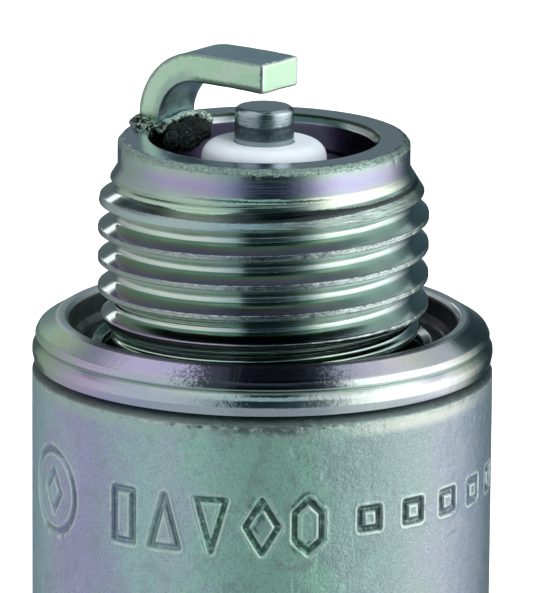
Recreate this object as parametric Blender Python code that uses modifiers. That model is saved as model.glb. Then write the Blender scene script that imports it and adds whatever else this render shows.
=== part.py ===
"""Spark plug: 14 mm thread, 9.5 mm reach, 19 mm hexagon, compact body.

The plug stands with its firing end up. The origin is on the axis, in the plane
of the shell's gasket seat. Dimensions below are in millimetres, and every object
is built in metres, +Z up, towards the firing end.
"""

import math

import bmesh
import bpy
from mathutils import Matrix

MM = 0.001

# --- driving dimensions, millimetres ------------------------------------------
REACH = 9.5  # gasket seat to the shell's firing-end face
THREAD_R = 6.93  # M14 x 1.25, major radius of the finished thread
THREAD_ROOT_R = 6.20
THREAD_PITCH = 1.25
THREAD_CREST_Z = 8.765  # height of the topmost crest where it crosses +X
COLLAR_R = 6.10  # plain collar in front of the thread
NECK_R = 6.15  # relief between the thread and the seat
BORE_R = 4.62  # mouth of the shell round the insulator nose
BARREL_R = 9.62
BARREL_END = -10.20
HEX_FLATS = 19.0
HEX_TOP, HEX_BOTTOM = -11.35, -17.35
SHELL_REAR = -20.00
CAVITY_R = 7.05  # room for the insulator body and its packings

NOSE_R = 2.57  # insulator nose at the firing end
NOSE_TOP = REACH - 0.15
INSULATOR_BODY_R = 6.90
INSULATOR_BORE_R = 2.00
INSULATOR_REAR = -36.60

ELECTRODE_R = 1.26
ELECTRODE_TIP = REACH + 1.33
CORE_R = 0.75

STRAP_THICK = 1.28
STRAP_WIDTH = 2.52
STRAP_SHIFT = 0.13  # its middle lies this far behind the line of its reach
STRAP_AZIMUTH = math.radians(-37.0)  # direction in which the strap reaches out
STRAP_END = 0.72  # how far the tip passes the axis
STRAP_UNDERSIDE = 2.06  # above the shell's face, which leaves a spark gap of 0.7

SEAL_R = 1.92
RESISTOR_TOP, RESISTOR_LENGTH = -11.60, 7.60

STUD_R = 1.97  # M4 x 0.7
STUD_ROOT_R = 1.62
STUD_PITCH = 0.7
NUT_TOP, NUT_LENGTH = -37.70, 8.00
NUT_R = 3.17
NUT_BORE_R = 2.05

GASKET_OUTER_R = 9.62
GASKET_INNER_R = 6.62  # less than the thread's radius, so the gasket is captive

ROUND_STEPS = 36
SMALL_STEPS = 24
WIRE_R = 0.60  # wire of the two packing rings

# --- scene --------------------------------------------------------------------

for old in list(bpy.data.objects):
    bpy.data.objects.remove(old, do_unlink=True)

part_collection = bpy.data.collections.new("spark_plug")
cutter_collection = bpy.data.collections.new("cutters")
bpy.context.scene.collection.children.link(part_collection)
bpy.context.scene.collection.children.link(cutter_collection)

plug_axis = bpy.data.objects.new("plug_axis", None)
plug_axis.empty_display_size = 0.01
part_collection.objects.link(plug_axis)


def material(name, colour, metallic, roughness):
    made = bpy.data.materials.new(name)
    made.use_nodes = True
    shader = made.node_tree.nodes["Principled BSDF"]
    shader.inputs["Base Color"].default_value = (*colour, 1.0)
    shader.inputs["Metallic"].default_value = metallic
    shader.inputs["Roughness"].default_value = roughness
    made.diffuse_color = (*colour, 1.0)
    return made


def link(name, mesh, mat=None, height=0.0):
    """An object for this mesh on the plug's axis, its origin at this height.
    Without a material it is a cutter or a guide."""
    made = bpy.data.objects.new(name, mesh)
    if mat is None:
        cutter_collection.objects.link(made)
        made.hide_render = True
        made.display_type = "WIRE"
    else:
        part_collection.objects.link(made)
        made.data.materials.append(mat)
        made.parent = plug_axis
    made.location = (0.0, 0.0, height * MM)
    return made


# --- turned pieces --------------------------------------------------------------


def profile_mesh(name, points, closed, height=0.0):
    """A chain of edges in the XZ plane from (radius, height) pairs."""
    mesh = bpy.data.meshes.new(name)
    bm = bmesh.new()
    verts = [bm.verts.new((r * MM, 0.0, (z - height) * MM)) for r, z in points]
    for a, b in zip(verts, verts[1:]):
        bm.edges.new((a, b))
    if closed:
        bm.edges.new((verts[-1], verts[0]))
    bm.to_mesh(mesh)
    bm.free()
    return mesh


def turned(name, points, mat=None, steps=ROUND_STEPS, height=0.0):
    """A turned piece, its profile listed down its outer side. A profile that
    starts and ends on the axis is solid, and any other is closed into a ring."""
    solid = points[0][0] == 0.0 and points[-1][0] == 0.0
    obj = link(name, profile_mesh(name, points, not solid, height), mat, height)
    screw = obj.modifiers.new("turn", "SCREW")
    screw.axis = "Z"
    screw.angle = 2 * math.pi
    screw.steps = steps
    screw.render_steps = steps
    screw.use_merge_vertices = True
    screw.merge_threshold = 1e-6
    screw.use_smooth_shade = True
    return obj


def arc(centre_r, centre_z, radius, start_deg, end_deg, count):
    """Points of an arc in the (radius, height) plane."""
    found = []
    for i in range(count + 1):
        a = math.radians(start_deg + (end_deg - start_deg) * i / count)
        found.append((centre_r + radius * math.cos(a), centre_z + radius * math.sin(a)))
    return found


def boolean(obj, other, operation):
    modifier = obj.modifiers.new(operation.lower(), "BOOLEAN")
    modifier.operation = operation
    modifier.solver = "EXACT"
    modifier.object = other
    return modifier


def weld_close_points(obj):
    """Joins the points that a Boolean leaves a thousandth of a millimetre apart."""
    modifier = obj.modifiers.new("weld", "WELD")
    modifier.merge_threshold = 0.002 * MM
    return modifier


def thread_cutter(name, root_r, major_r, pitch, start_z, turns, steps, root_half):
    """The groove between the crests of a 60 degree thread, swept up a right-hand
    helix. The sweep starts and ends clear of the metal, and its ends are capped."""
    over = 0.07 * pitch
    half = root_half + (major_r + over - root_r) * math.tan(math.radians(30.0))
    points = [
        (major_r + over, start_z + half),
        (major_r + over, start_z - half),
        (root_r, start_z - root_half),
        (root_r, start_z + root_half),
    ]
    guide = link(name + "_guide", profile_mesh(name + "_guide", points, True))
    screw = guide.modifiers.new("helix", "SCREW")
    screw.axis = "Z"
    screw.angle = 2 * math.pi
    screw.screw_offset = pitch * MM
    screw.iterations = turns
    screw.steps = steps
    screw.render_steps = steps
    screw.use_merge_vertices = False
    graph = bpy.context.evaluated_depsgraph_get()
    mesh = bpy.data.meshes.new_from_object(guide.evaluated_get(graph))
    bm = bmesh.new()
    bm.from_mesh(mesh)
    bmesh.ops.remove_doubles(bm, verts=bm.verts, dist=1e-7)
    bmesh.ops.holes_fill(bm, edges=[e for e in bm.edges if e.is_boundary], sides=4)
    bmesh.ops.recalc_face_normals(bm, faces=bm.faces)
    bm.to_mesh(mesh)
    bm.free()
    bpy.data.objects.remove(guide, do_unlink=True)
    return link(name, mesh)


# --- metal shell ---------------------------------------------------------------

hex_corner_r = HEX_FLATS / 2 / math.cos(math.radians(30.0))
metal_shell = turned(
    "metal_shell",
    [
        (BORE_R + 0.15, REACH),
        (COLLAR_R - 0.16, REACH),
        (COLLAR_R, REACH - 0.18),
        (COLLAR_R, REACH - 1.20),
        (THREAD_R - 0.10, REACH - 2.35),
        (THREAD_R, REACH - 2.95),
        (THREAD_R, 2.40),
        (6.68, 1.85),
        (6.45, 1.27),
        (NECK_R, 0.80),
        (NECK_R, 0.0),
        (BARREL_R - 0.34, 0.0),
        (BARREL_R, -0.50),
        (BARREL_R, BARREL_END),
        (BARREL_R - 0.22, BARREL_END - 0.25),
        (8.62, BARREL_END - 0.32),
        (8.62, HEX_TOP + 0.12),
        (9.35, HEX_TOP),
        (hex_corner_r, HEX_TOP - 0.90),
        (hex_corner_r, HEX_BOTTOM + 0.90),
        (9.35, HEX_BOTTOM),
        (8.35, HEX_BOTTOM - 0.12),
        (8.20, HEX_BOTTOM - 0.40),
        (8.20, SHELL_REAR + 1.40),
        (7.85, SHELL_REAR + 0.65),
        (7.10, SHELL_REAR + 0.15),
        (6.20, SHELL_REAR),
        (5.66, SHELL_REAR + 0.25),
        (5.75, SHELL_REAR + 0.55),
        (CAVITY_R, SHELL_REAR + 1.00),
        (CAVITY_R, -6.00),
        (5.45, -5.00),
        (5.45, -2.30),
        (4.15, -1.40),
        (4.15, -0.20),
        (BORE_R, 0.40),
        (BORE_R, REACH - 0.15),
    ],
    material("plated_steel", (0.56, 0.62, 0.60), 1.0, 0.24),
)

# Wrench hexagon: everything outside six flats is cut from a flange whose ends
# are already chamfered. Two of its corners lie on the X axis.
hex_cutter = turned(
    "hex_cutter",
    [
        (hex_corner_r, HEX_TOP + 0.60),
        (15.0, HEX_TOP + 0.60),
        (15.0, HEX_BOTTOM - 0.30),
        (hex_corner_r, HEX_BOTTOM - 0.30),
    ],
    steps=6,
)
boolean(metal_shell, hex_cutter, "DIFFERENCE")

# The thread is one helical groove, from the relief at the seat to the collar.
shell_thread_cutter = thread_cutter(
    "shell_thread_cutter",
    THREAD_ROOT_R,
    THREAD_R,
    THREAD_PITCH,
    THREAD_CREST_Z - 6.5 * THREAD_PITCH,
    7,
    ROUND_STEPS,
    0.11,
)
boolean(metal_shell, shell_thread_cutter, "DIFFERENCE")
weld_close_points(metal_shell)

# --- gasket, folded from sheet, captive between the seat and the thread -----------

gasket = turned(
    "gasket",
    [
        (8.36, 1.95),
        (8.56, 1.93),
        (9.34, 1.46),
        (9.50, 1.26),
        (9.34, 1.01),
        (9.50, 0.90),
        (GASKET_OUTER_R, 0.66),
        (GASKET_OUTER_R, 0.42),
        (9.46, 0.15),
        (9.20, 0.05),
        (7.20, 0.05),
        (6.80, 0.12),
        (GASKET_INNER_R, 0.34),
        (6.70, 0.72),
        (7.02, 0.94),
        (7.66, 0.66),
        (8.00, 1.05),
        (8.18, 1.76),
    ],
    material("gasket_steel", (0.60, 0.62, 0.64), 1.0, 0.20),
)

# --- insulator: nose, seat cone, body, and the ribbed end under the cap -------------

insulator_profile = [(1.35, NOSE_TOP)]
insulator_profile += arc(NOSE_R - 0.78, NOSE_TOP - 0.78, 0.78, 90.0, 0.0, 5)
insulator_profile += [
    (2.64, 8.0),
    (3.68, 0.6),
    (4.00, -1.95),
    (5.30, -2.85),
    (5.30, -5.15),
    (INSULATOR_BODY_R, -6.15),
    (INSULATOR_BODY_R, -14.50),
    (5.50, -15.50),
    (5.32, -15.80),
    (5.32, -20.70),
    (5.10, -26.00),
]
for rib in range(4):
    rib_top = -26.60 - rib * 2.05
    insulator_profile += [
        (5.04, rib_top - 0.10),
        (5.00, rib_top - 0.62),
        (4.42, rib_top - 1.10),
        (4.42, rib_top - 1.60),
    ]
insulator_profile += [
    (4.64, -34.75),
    (4.58, -35.60),
    (4.20, -36.36),
    (3.70, INSULATOR_REAR),
    (INSULATOR_BORE_R, INSULATOR_REAR),
    (INSULATOR_BORE_R, -7.55),
    (1.35, -6.75),
]
insulator = turned(
    "insulator",
    insulator_profile,
    material("alumina", (0.90, 0.91, 0.93), 0.0, 0.28),
    steps=SMALL_STEPS,
)

# --- centre electrode: a nickel sheath round a copper core ---------------------------

centre_electrode = turned(
    "centre_electrode",
    [
        (0.0, ELECTRODE_TIP),
        (ELECTRODE_R - 0.15, ELECTRODE_TIP),
        (ELECTRODE_R, ELECTRODE_TIP - 0.15),
        (ELECTRODE_R, -6.75),
        (1.86, -7.62),
        (1.86, -8.30),
        (1.40, -8.50),
        (CORE_R + 0.07, -8.50),
        (CORE_R + 0.07, 6.00),
        (0.0, 6.30),
    ],
    material("electrode_nickel", (0.30, 0.34, 0.36), 1.0, 0.38),
    steps=SMALL_STEPS,
)
electrode_copper_core = turned(
    "electrode_copper_core",
    [
        (0.0, 6.15),
        (CORE_R, 5.85),
        (CORE_R, -8.58),
        (1.10, -8.64),
        (1.10, -9.35),
        (0.0, -9.35),
    ],
    material("copper", (0.72, 0.40, 0.26), 1.0, 0.35),
    steps=20,
)

# --- column inside the insulator: seal, resistor, seal ---------------------------------

lower_glass_seal = turned(
    "lower_glass_seal",
    [
        (0.0, -9.45),
        (1.20, -9.45),
        (1.20, -8.66),
        (SEAL_R, -8.66),
        (SEAL_R, RESISTOR_TOP + 0.10),
        (0.0, RESISTOR_TOP + 0.10),
    ],
    material("copper_glass", (0.33, 0.22, 0.17), 0.2, 0.45),
    steps=20,
)

resistor_mesh = bpy.data.meshes.new("suppressor_resistor")
bm = bmesh.new()
bmesh.ops.create_cone(
    bm,
    cap_ends=True,
    segments=20,
    radius1=SEAL_R * MM,
    radius2=SEAL_R * MM,
    depth=RESISTOR_LENGTH * MM,
)
bm.to_mesh(resistor_mesh)
bm.free()
suppressor_resistor = link(
    "suppressor_resistor",
    resistor_mesh,
    material("carbon_glass", (0.10, 0.10, 0.11), 0.0, 0.60),
    height=RESISTOR_TOP - RESISTOR_LENGTH / 2,
)
resistor_mesh.shade_smooth()
resistor_mesh.set_sharp_from_angle(angle=math.radians(40.0))

seal_top = RESISTOR_TOP - RESISTOR_LENGTH - 0.10
upper_glass_seal = turned(
    "upper_glass_seal",
    [
        (0.0, seal_top),
        (SEAL_R, seal_top),
        (SEAL_R, seal_top - 3.00),
        (1.42, seal_top - 3.00),
        (1.42, seal_top - 1.35),
        (0.0, seal_top - 1.35),
    ],
    material("stud_seal_glass", (0.30, 0.23, 0.19), 0.2, 0.45),
    steps=20,
)

# --- terminal stud and the nut that the plug cap clips on -------------------------------

flange_top = INSULATOR_REAR - 0.08
stud_tip = seal_top - 1.45
terminal_stud = turned(
    "terminal_stud",
    [
        (0.0, stud_tip),
        (1.10, stud_tip),
        (1.32, stud_tip - 0.25),
        (1.32, stud_tip - 2.60),
        (1.88, stud_tip - 3.10),
        (1.88, flange_top),
        (3.15, flange_top),
        (3.25, flange_top - 0.12),
        (3.25, flange_top - 0.78),
        (3.15, flange_top - 0.90),
        (1.55, flange_top - 0.90),
        (1.55, flange_top - 1.30),
        (STUD_R, flange_top - 1.65),
        (STUD_R, NUT_TOP - 5.80),
        (1.55, NUT_TOP - 6.25),
        (0.0, NUT_TOP - 6.25),
    ],
    material("stud_steel", (0.62, 0.63, 0.64), 1.0, 0.26),
    steps=16,
)
stud_thread_cutter = thread_cutter(
    "stud_thread_cutter",
    STUD_ROOT_R,
    STUD_R,
    STUD_PITCH,
    NUT_TOP - 6.60,
    9,
    16,
    0.05,
)
boolean(terminal_stud, stud_thread_cutter, "DIFFERENCE")
weld_close_points(terminal_stud)

terminal_nut = turned(
    "terminal_nut",
    [
        (0.0, NUT_TOP - 6.85),
        (NUT_BORE_R, NUT_TOP - 6.60),
        (NUT_BORE_R, NUT_TOP - 0.15),
        (2.20, NUT_TOP),
        (3.02, NUT_TOP),
        (NUT_R, NUT_TOP - 0.15),
        (NUT_R, NUT_TOP - 1.90),
        (2.95, NUT_TOP - 2.25),
        (2.64, NUT_TOP - 2.65),
        (2.64, NUT_TOP - 4.15),
        (2.84, NUT_TOP - 4.65),
        (NUT_R, NUT_TOP - 5.25),
        (NUT_R, NUT_TOP - 6.75),
        (3.02, NUT_TOP - 7.30),
        (2.55, NUT_TOP - NUT_LENGTH),
        (0.0, NUT_TOP - NUT_LENGTH),
    ],
    material("nut_steel", (0.66, 0.67, 0.68), 1.0, 0.22),
    steps=SMALL_STEPS,
    height=NUT_TOP,
)

# --- packings between the insulator and the shell -----------------------------------------

ring_steel = material("ring_steel", (0.55, 0.55, 0.56), 1.0, 0.35)
seat_packing = turned(
    "seat_packing",
    [(4.34, -1.66), (5.20, -2.25), (5.20, -2.66), (4.34, -2.07)],
    material("packing_steel", (0.50, 0.50, 0.52), 1.0, 0.40),
    steps=30,
)


def wire_ring(name, height, mat):
    """A ring of round wire in the annular room behind the insulator's body."""
    bpy.ops.mesh.primitive_torus_add(
        major_segments=30,
        minor_segments=8,
        major_radius=6.19 * MM,
        minor_radius=WIRE_R * MM,
    )
    made = bpy.context.active_object
    made.name = name
    for holder in list(made.users_collection):
        holder.objects.unlink(made)
    part_collection.objects.link(made)
    made.data.materials.append(mat)
    made.data.shade_smooth()
    made.parent = plug_axis
    made.location = (0.0, 0.0, height * MM)
    return made


front_wire_ring = wire_ring("front_wire_ring", -15.88, ring_steel)
talc_packing = turned(
    "talc_packing",
    [(5.42, -16.55), (6.95, -16.55), (6.95, -17.60), (5.42, -17.60)],
    material("talc", (0.82, 0.82, 0.78), 0.0, 0.90),
    steps=30,
)
rear_wire_ring = wire_ring("rear_wire_ring", -18.28, ring_steel.copy())

# --- ground electrode: a flat strap, bent over from the shell's end face ---------------------

# Its outline lies in the strap's own plane: the first number is measured from the
# plug's axis in the direction the strap reaches, the second up from the end face.
BEND_CENTRE = (-2.65, 0.30)


def bend(radius_leg, radius_arm, count):
    """The bend from the leg (180 degrees) to the arm (90 degrees)."""
    found = []
    for i in range(count + 1):
        t = i / count
        a = math.radians(180.0 - 90.0 * t)
        r = radius_leg + (radius_arm - radius_leg) * t
        found.append((BEND_CENTRE[0] + r * math.cos(a), BEND_CENTRE[1] + r * math.sin(a)))
    return found


under = STRAP_UNDERSIDE + 0.02
outline = [(-5.85, 0.04)]
outline += bend(3.14, under + STRAP_THICK - BEND_CENTRE[1], 9)
outline += [
    (-0.90, under + 0.01 + STRAP_THICK),
    (STRAP_END, under - 0.04 + STRAP_THICK),
    (STRAP_END, under - 0.04),
    (-0.90, under + 0.01),
]
outline += bend(1.98, under - BEND_CENTRE[1], 7)[::-1]
outline += [(-4.70, 0.04)]

strap_curve = bpy.data.curves.new("ground_electrode_outline", "CURVE")
strap_curve.dimensions = "2D"
strap_curve.fill_mode = "BOTH"
strap_curve.extrude = STRAP_WIDTH / 2 * MM
spline = strap_curve.splines.new("POLY")
spline.points.add(len(outline) - 1)
for point, (along, up) in zip(spline.points, outline):
    point.co = (along * MM, up * MM, 0.0, 1.0)
spline.use_cyclic_u = True
strap_guide = bpy.data.objects.new("ground_electrode_guide", strap_curve)
cutter_collection.objects.link(strap_guide)
graph = bpy.context.evaluated_depsgraph_get()
strap_mesh = bpy.data.meshes.new_from_object(strap_guide.evaluated_get(graph))
bpy.data.objects.remove(strap_guide, do_unlink=True)
bm = bmesh.new()
bm.from_mesh(strap_mesh)
bmesh.ops.remove_doubles(bm, verts=bm.verts, dist=1e-7)
bmesh.ops.recalc_face_normals(bm, faces=bm.faces)
bm.to_mesh(strap_mesh)
bm.free()
ground_electrode = link(
    "ground_electrode", strap_mesh, material("strap_nickel", (0.62, 0.72, 0.64), 1.0, 0.30)
)
# Its local X runs along the strap, its Y up the plug, its Z across the strap.
ground_electrode.matrix_local = (
    Matrix.Translation((0.0, 0.0, REACH * MM))
    @ Matrix.Rotation(STRAP_AZIMUTH, 4, "Z")
    @ Matrix.Rotation(math.pi / 2, 4, "X")
    @ Matrix.Translation((0.0, 0.0, -STRAP_SHIFT * MM))
)
edge_break = ground_electrode.modifiers.new("edge_break", "BEVEL")
edge_break.width = 0.09 * MM
edge_break.segments = 2
edge_break.limit_method = "ANGLE"
edge_break.angle_limit = math.radians(40.0)

# --- weld flash at the foot of the strap -------------------------------------------------------


def weld_flash(name, along, across, up, radii, mat):
    """A lump of squeezed-out weld metal, an uneven ball. along and across are
    measured from the axis, up from the end face, radii along those directions."""
    mesh = bpy.data.meshes.new(name)
    bm = bmesh.new()
    bmesh.ops.create_uvsphere(bm, u_segments=12, v_segments=8, radius=1.0)
    for v in bm.verts:
        x, y, z = v.co
        lump = 1.0 + 0.05 * math.sin(5.0 * x + 1.3) * math.cos(4.0 * y - 0.7 + 2.0 * z)
        v.co = [c * lump * r * MM for c, r in zip((x, y, z), radii)]
    bm.to_mesh(mesh)
    bm.free()
    mesh.shade_smooth()
    obj = link(name, mesh, mat)
    obj.matrix_local = Matrix.Rotation(STRAP_AZIMUTH, 4, "Z") @ Matrix.Translation(
        (along * MM, across * MM, (REACH + up) * MM)
    )
    return obj


weld_flash_bore = weld_flash(
    "weld_flash_bore",
    -3.88,
    0.20,
    -0.42,
    (0.55, 1.40, 0.72),
    material("burnt_weld", (0.06, 0.07, 0.07), 0.6, 0.60),
)
weld_flash_rim = weld_flash(
    "weld_flash_rim",
    -5.28,
    -1.52,
    0.24,
    (0.58, 0.26, 0.19),
    material("bright_weld", (0.45, 0.52, 0.48), 0.9, 0.35),
)
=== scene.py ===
"""Spark plug: the finished surfaces and materials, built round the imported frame.

Lengths in the helpers are millimetres from the plug's seat plane, +Z towards the
firing end, and become metres when a mesh is made.
"""
import math

import bmesh
import bpy
import numpy as np
from mathutils import Matrix, Vector


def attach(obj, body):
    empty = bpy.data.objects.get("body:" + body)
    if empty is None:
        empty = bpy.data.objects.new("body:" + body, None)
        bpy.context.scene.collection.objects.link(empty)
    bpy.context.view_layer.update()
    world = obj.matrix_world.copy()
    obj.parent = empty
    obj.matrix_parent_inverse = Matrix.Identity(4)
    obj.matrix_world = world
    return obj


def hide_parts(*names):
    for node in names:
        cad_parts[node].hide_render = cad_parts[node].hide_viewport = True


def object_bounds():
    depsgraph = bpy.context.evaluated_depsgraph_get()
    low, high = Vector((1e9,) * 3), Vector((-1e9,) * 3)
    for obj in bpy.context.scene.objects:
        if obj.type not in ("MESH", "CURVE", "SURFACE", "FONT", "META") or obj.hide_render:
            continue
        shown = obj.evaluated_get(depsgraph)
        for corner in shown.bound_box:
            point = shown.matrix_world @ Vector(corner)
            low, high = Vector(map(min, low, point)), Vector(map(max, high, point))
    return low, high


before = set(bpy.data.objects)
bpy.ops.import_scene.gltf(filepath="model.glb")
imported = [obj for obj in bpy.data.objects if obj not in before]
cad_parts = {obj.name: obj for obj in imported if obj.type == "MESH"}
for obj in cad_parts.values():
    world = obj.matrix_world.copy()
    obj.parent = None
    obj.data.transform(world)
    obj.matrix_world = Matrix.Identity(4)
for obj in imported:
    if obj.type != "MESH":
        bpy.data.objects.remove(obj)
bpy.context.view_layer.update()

MM = 0.001
scene = bpy.context.scene
TAU = 2.0 * math.pi

# The same driving numbers as the frame's solids, in millimetres.
REACH = 9.5
PITCH = 1.25
CREST_0 = 0.050  # height of a crest where it crosses +X
STRAP_AZ = math.radians(-37.0)

# =============================================================================
# Numeric helpers
# =============================================================================


def hashed(ix, iy, iz, seed):
    n = (ix * 374761393 + iy * 668265263 + iz * 1440662683 + seed * 1013904223) & 0xFFFFFFFF
    n = ((n ^ (n >> 13)) * 1274126177) & 0xFFFFFFFF
    n = ((n ^ (n >> 15)) * 668265263) & 0xFFFFFFFF
    return (n ^ (n >> 16)) / 4294967295.0


def vnoise(p, scale=1.0, seed=0):
    """Smooth value noise from -1 to 1 at points p (n, 3), in cells of size 1/scale."""
    q = np.asarray(p, float) * scale + 1000.0
    i = np.floor(q).astype(np.int64)
    f = q - i
    u = f * f * (3.0 - 2.0 * f)
    out = np.zeros(len(q))
    for dx in (0, 1):
        for dy in (0, 1):
            for dz in (0, 1):
                w = (
                    (u[:, 0] if dx else 1 - u[:, 0])
                    * (u[:, 1] if dy else 1 - u[:, 1])
                    * (u[:, 2] if dz else 1 - u[:, 2])
                )
                out += w * hashed(i[:, 0] + dx, i[:, 1] + dy, i[:, 2] + dz, seed)
    return out * 2.0 - 1.0


def fbm(p, scale=1.0, octaves=4, seed=0, gain=0.5):
    total, amp, norm = 0.0, 1.0, 0.0
    for o in range(octaves):
        total = total + amp * vnoise(p, scale * 2.0**o, seed + 17 * o)
        norm += amp
        amp *= gain
    return total / norm


def cells(p, scale=1.0, seed=0):
    """Distance to the nearest and second nearest of scattered points."""
    q = np.asarray(p, float) * scale + 1000.0
    i = np.floor(q).astype(np.int64)
    best = np.full(len(q), 9.0)
    second = np.full(len(q), 9.0)
    for dx in (-1, 0, 1):
        for dy in (-1, 0, 1):
            for dz in (-1, 0, 1):
                jx, jy, jz = i[:, 0] + dx, i[:, 1] + dy, i[:, 2] + dz
                c = np.stack(
                    [
                        jx + hashed(jx, jy, jz, seed),
                        jy + hashed(jx, jy, jz, seed + 1),
                        jz + hashed(jx, jy, jz, seed + 2),
                    ],
                    axis=1,
                )
                d = np.linalg.norm(q - c, axis=1)
                second = np.minimum(second, np.maximum(best, d))
                best = np.minimum(best, d)
    return best, second


def smooth(a, b, x):
    t = np.clip((np.asarray(x, float) - a) / (b - a), 0.0, 1.0)
    return t * t * (3.0 - 2.0 * t)


def fillet(points, closed=False, arc_step=18.0):
    """A polyline with its corners rounded. Each point is (r, z) or (r, z, radius)."""
    n = len(points)
    out = []
    for i, p in enumerate(points):
        radius = p[2] if len(p) > 2 else 0.0
        here = np.array(p[:2], float)
        if radius <= 0 or (not closed and i in (0, n - 1)):
            out.append(tuple(here))
            continue
        before = np.array(points[i - 1][:2], float)
        after = np.array(points[(i + 1) % n][:2], float)
        a, b = before - here, after - here
        la, lb = np.linalg.norm(a), np.linalg.norm(b)
        a, b = a / la, b / lb
        angle = math.acos(max(-1.0, min(1.0, float(a @ b))))
        if angle > math.radians(176):
            out.append(tuple(here))
            continue
        cut = min(radius / math.tan(angle / 2), 0.49 * la, 0.49 * lb)
        radius = cut * math.tan(angle / 2)
        centre = here + (a + b) / np.linalg.norm(a + b) * (radius / math.sin(angle / 2))
        start, end = here + a * cut, here + b * cut
        a0 = math.atan2(*(start - centre)[::-1])
        a1 = math.atan2(*(end - centre)[::-1])
        turn = (a1 - a0 + math.pi) % TAU - math.pi
        steps = max(2, int(math.ceil(abs(math.degrees(turn)) / arc_step)))
        for k in range(steps + 1):
            t = a0 + turn * k / steps
            out.append((centre[0] + radius * math.cos(t), centre[1] + radius * math.sin(t)))
    return out


def spaced(points, longest, closed=False):
    """The same polyline, with long runs divided."""
    out = []
    n = len(points)
    for i in range(n if closed else n - 1):
        a, b = np.array(points[i]), np.array(points[(i + 1) % n])
        k = max(1, int(math.ceil(np.linalg.norm(b - a) / longest)))
        for j in range(k):
            out.append(tuple(a + (b - a) * j / k))
    if not closed:
        out.append(tuple(points[-1]))
    return out


def spline_through(points, per=6, closed=False):
    """A smooth curve through points (Catmull-Rom)."""
    pts = [np.array(p, float) for p in points]
    n = len(pts)
    out = []
    for i in range(n if closed else n - 1):
        p1, p2 = pts[i], pts[(i + 1) % n]
        p0 = pts[i - 1] if (closed or i > 0) else p1 * 2 - p2
        p3 = pts[(i + 2) % n] if (closed or i + 2 < n) else p2 * 2 - p1
        for k in range(per):
            t = k / per
            out.append(
                tuple(
                    0.5
                    * (
                        2 * p1
                        + (p2 - p0) * t
                        + (2 * p0 - 5 * p1 + 4 * p2 - p3) * t * t
                        + (3 * p1 - p0 - 3 * p2 + p3) * t**3
                    )
                )
            )
    if not closed:
        out.append(tuple(pts[-1]))
    return out


# =============================================================================
# Mesh helpers
# =============================================================================


def finish_bmesh(bm, name, mat, sharp=None):
    bmesh.ops.remove_doubles(bm, verts=bm.verts, dist=2e-8)
    bmesh.ops.dissolve_degenerate(bm, edges=bm.edges, dist=2e-8)
    loose = [v for v in bm.verts if not v.link_faces]
    if loose:
        bmesh.ops.delete(bm, geom=loose, context="VERTS")
    mesh = bpy.data.meshes.new(name)
    bm.to_mesh(mesh)
    bm.free()
    mesh.shade_smooth()
    if sharp is not None:
        mesh.set_sharp_from_angle(angle=math.radians(sharp))
    obj = bpy.data.objects.new(name, mesh)
    scene.collection.objects.link(obj)
    if mat is not None:
        mesh.materials.append(mat)
    return obj


def make_piece(name, verts, faces, mat, sharp=None):
    """An object from points in millimetres and faces, coincident points joined."""
    mesh = bpy.data.meshes.new(name)
    mesh.from_pydata((np.asarray(verts) * MM).tolist(), [], faces)
    bm = bmesh.new()
    bm.from_mesh(mesh)
    bpy.data.meshes.remove(mesh)
    return finish_bmesh(bm, name, mat, sharp)


def grid_faces(rows, cols, wrap_rows=False, wrap_cols=True, offset=0):
    """Quads of a grid of rows by cols points, facing out where rows run down the
    outside and columns run anticlockwise."""
    out = []
    for i in range(rows if wrap_rows else rows - 1):
        i2 = (i + 1) % rows
        for j in range(cols if wrap_cols else cols - 1):
            j2 = (j + 1) % cols
            out.append(
                (
                    offset + i * cols + j,
                    offset + i2 * cols + j,
                    offset + i2 * cols + j2,
                    offset + i * cols + j2,
                )
            )
    return out


def turn(profile, cols):
    """Points of a turned surface: profile rows of (r, z) by evenly spaced columns."""
    p = np.array(profile, float)
    th = np.arange(cols) / cols * TAU
    r = p[:, 0][:, None]
    x, y = r * np.cos(th), r * np.sin(th)
    z = np.repeat(p[:, 1][:, None], cols, axis=1)
    return np.stack([x, y, z], axis=2).reshape(-1, 3)


def lathe(name, profile, cols, mat, closed=False, shape=None, sharp=None):
    """A turned piece. shape(points, rows, cols) may move its points."""
    v = turn(profile, cols)
    if shape is not None:
        v = shape(v, len(profile), cols)
    return make_piece(name, v, grid_faces(len(profile), cols, wrap_rows=closed), mat, sharp)


def radial(v):
    """Unit outward directions, and radii, of points about the plug's axis."""
    r = np.hypot(v[:, 0], v[:, 1])
    n = np.zeros_like(v)
    safe = np.maximum(r, 1e-9)
    n[:, 0], n[:, 1] = v[:, 0] / safe, v[:, 1] / safe
    return n, r


def polar_grid(profile, thetas):
    """Points of a turned surface with columns at the given angles."""
    p = np.array(profile, float)
    th = np.asarray(thetas, float)
    r = p[:, 0][:, None]
    z = np.repeat(p[:, 1][:, None], len(th), axis=1)
    return np.stack([r * np.cos(th), r * np.sin(th), z], axis=2).reshape(-1, 3)


def helical_rows(offsets, pitch, crest0, z_bot, z_top):
    """Row heights at +X for a thread: the same offsets from every crest."""
    offsets = np.asarray(sorted(offsets))
    first = math.floor((z_bot - pitch - crest0) / pitch) - 1
    last = math.ceil((z_top - crest0) / pitch) + 1
    return np.concatenate([crest0 + k * pitch + offsets for k in range(first, last + 1)])


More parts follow.
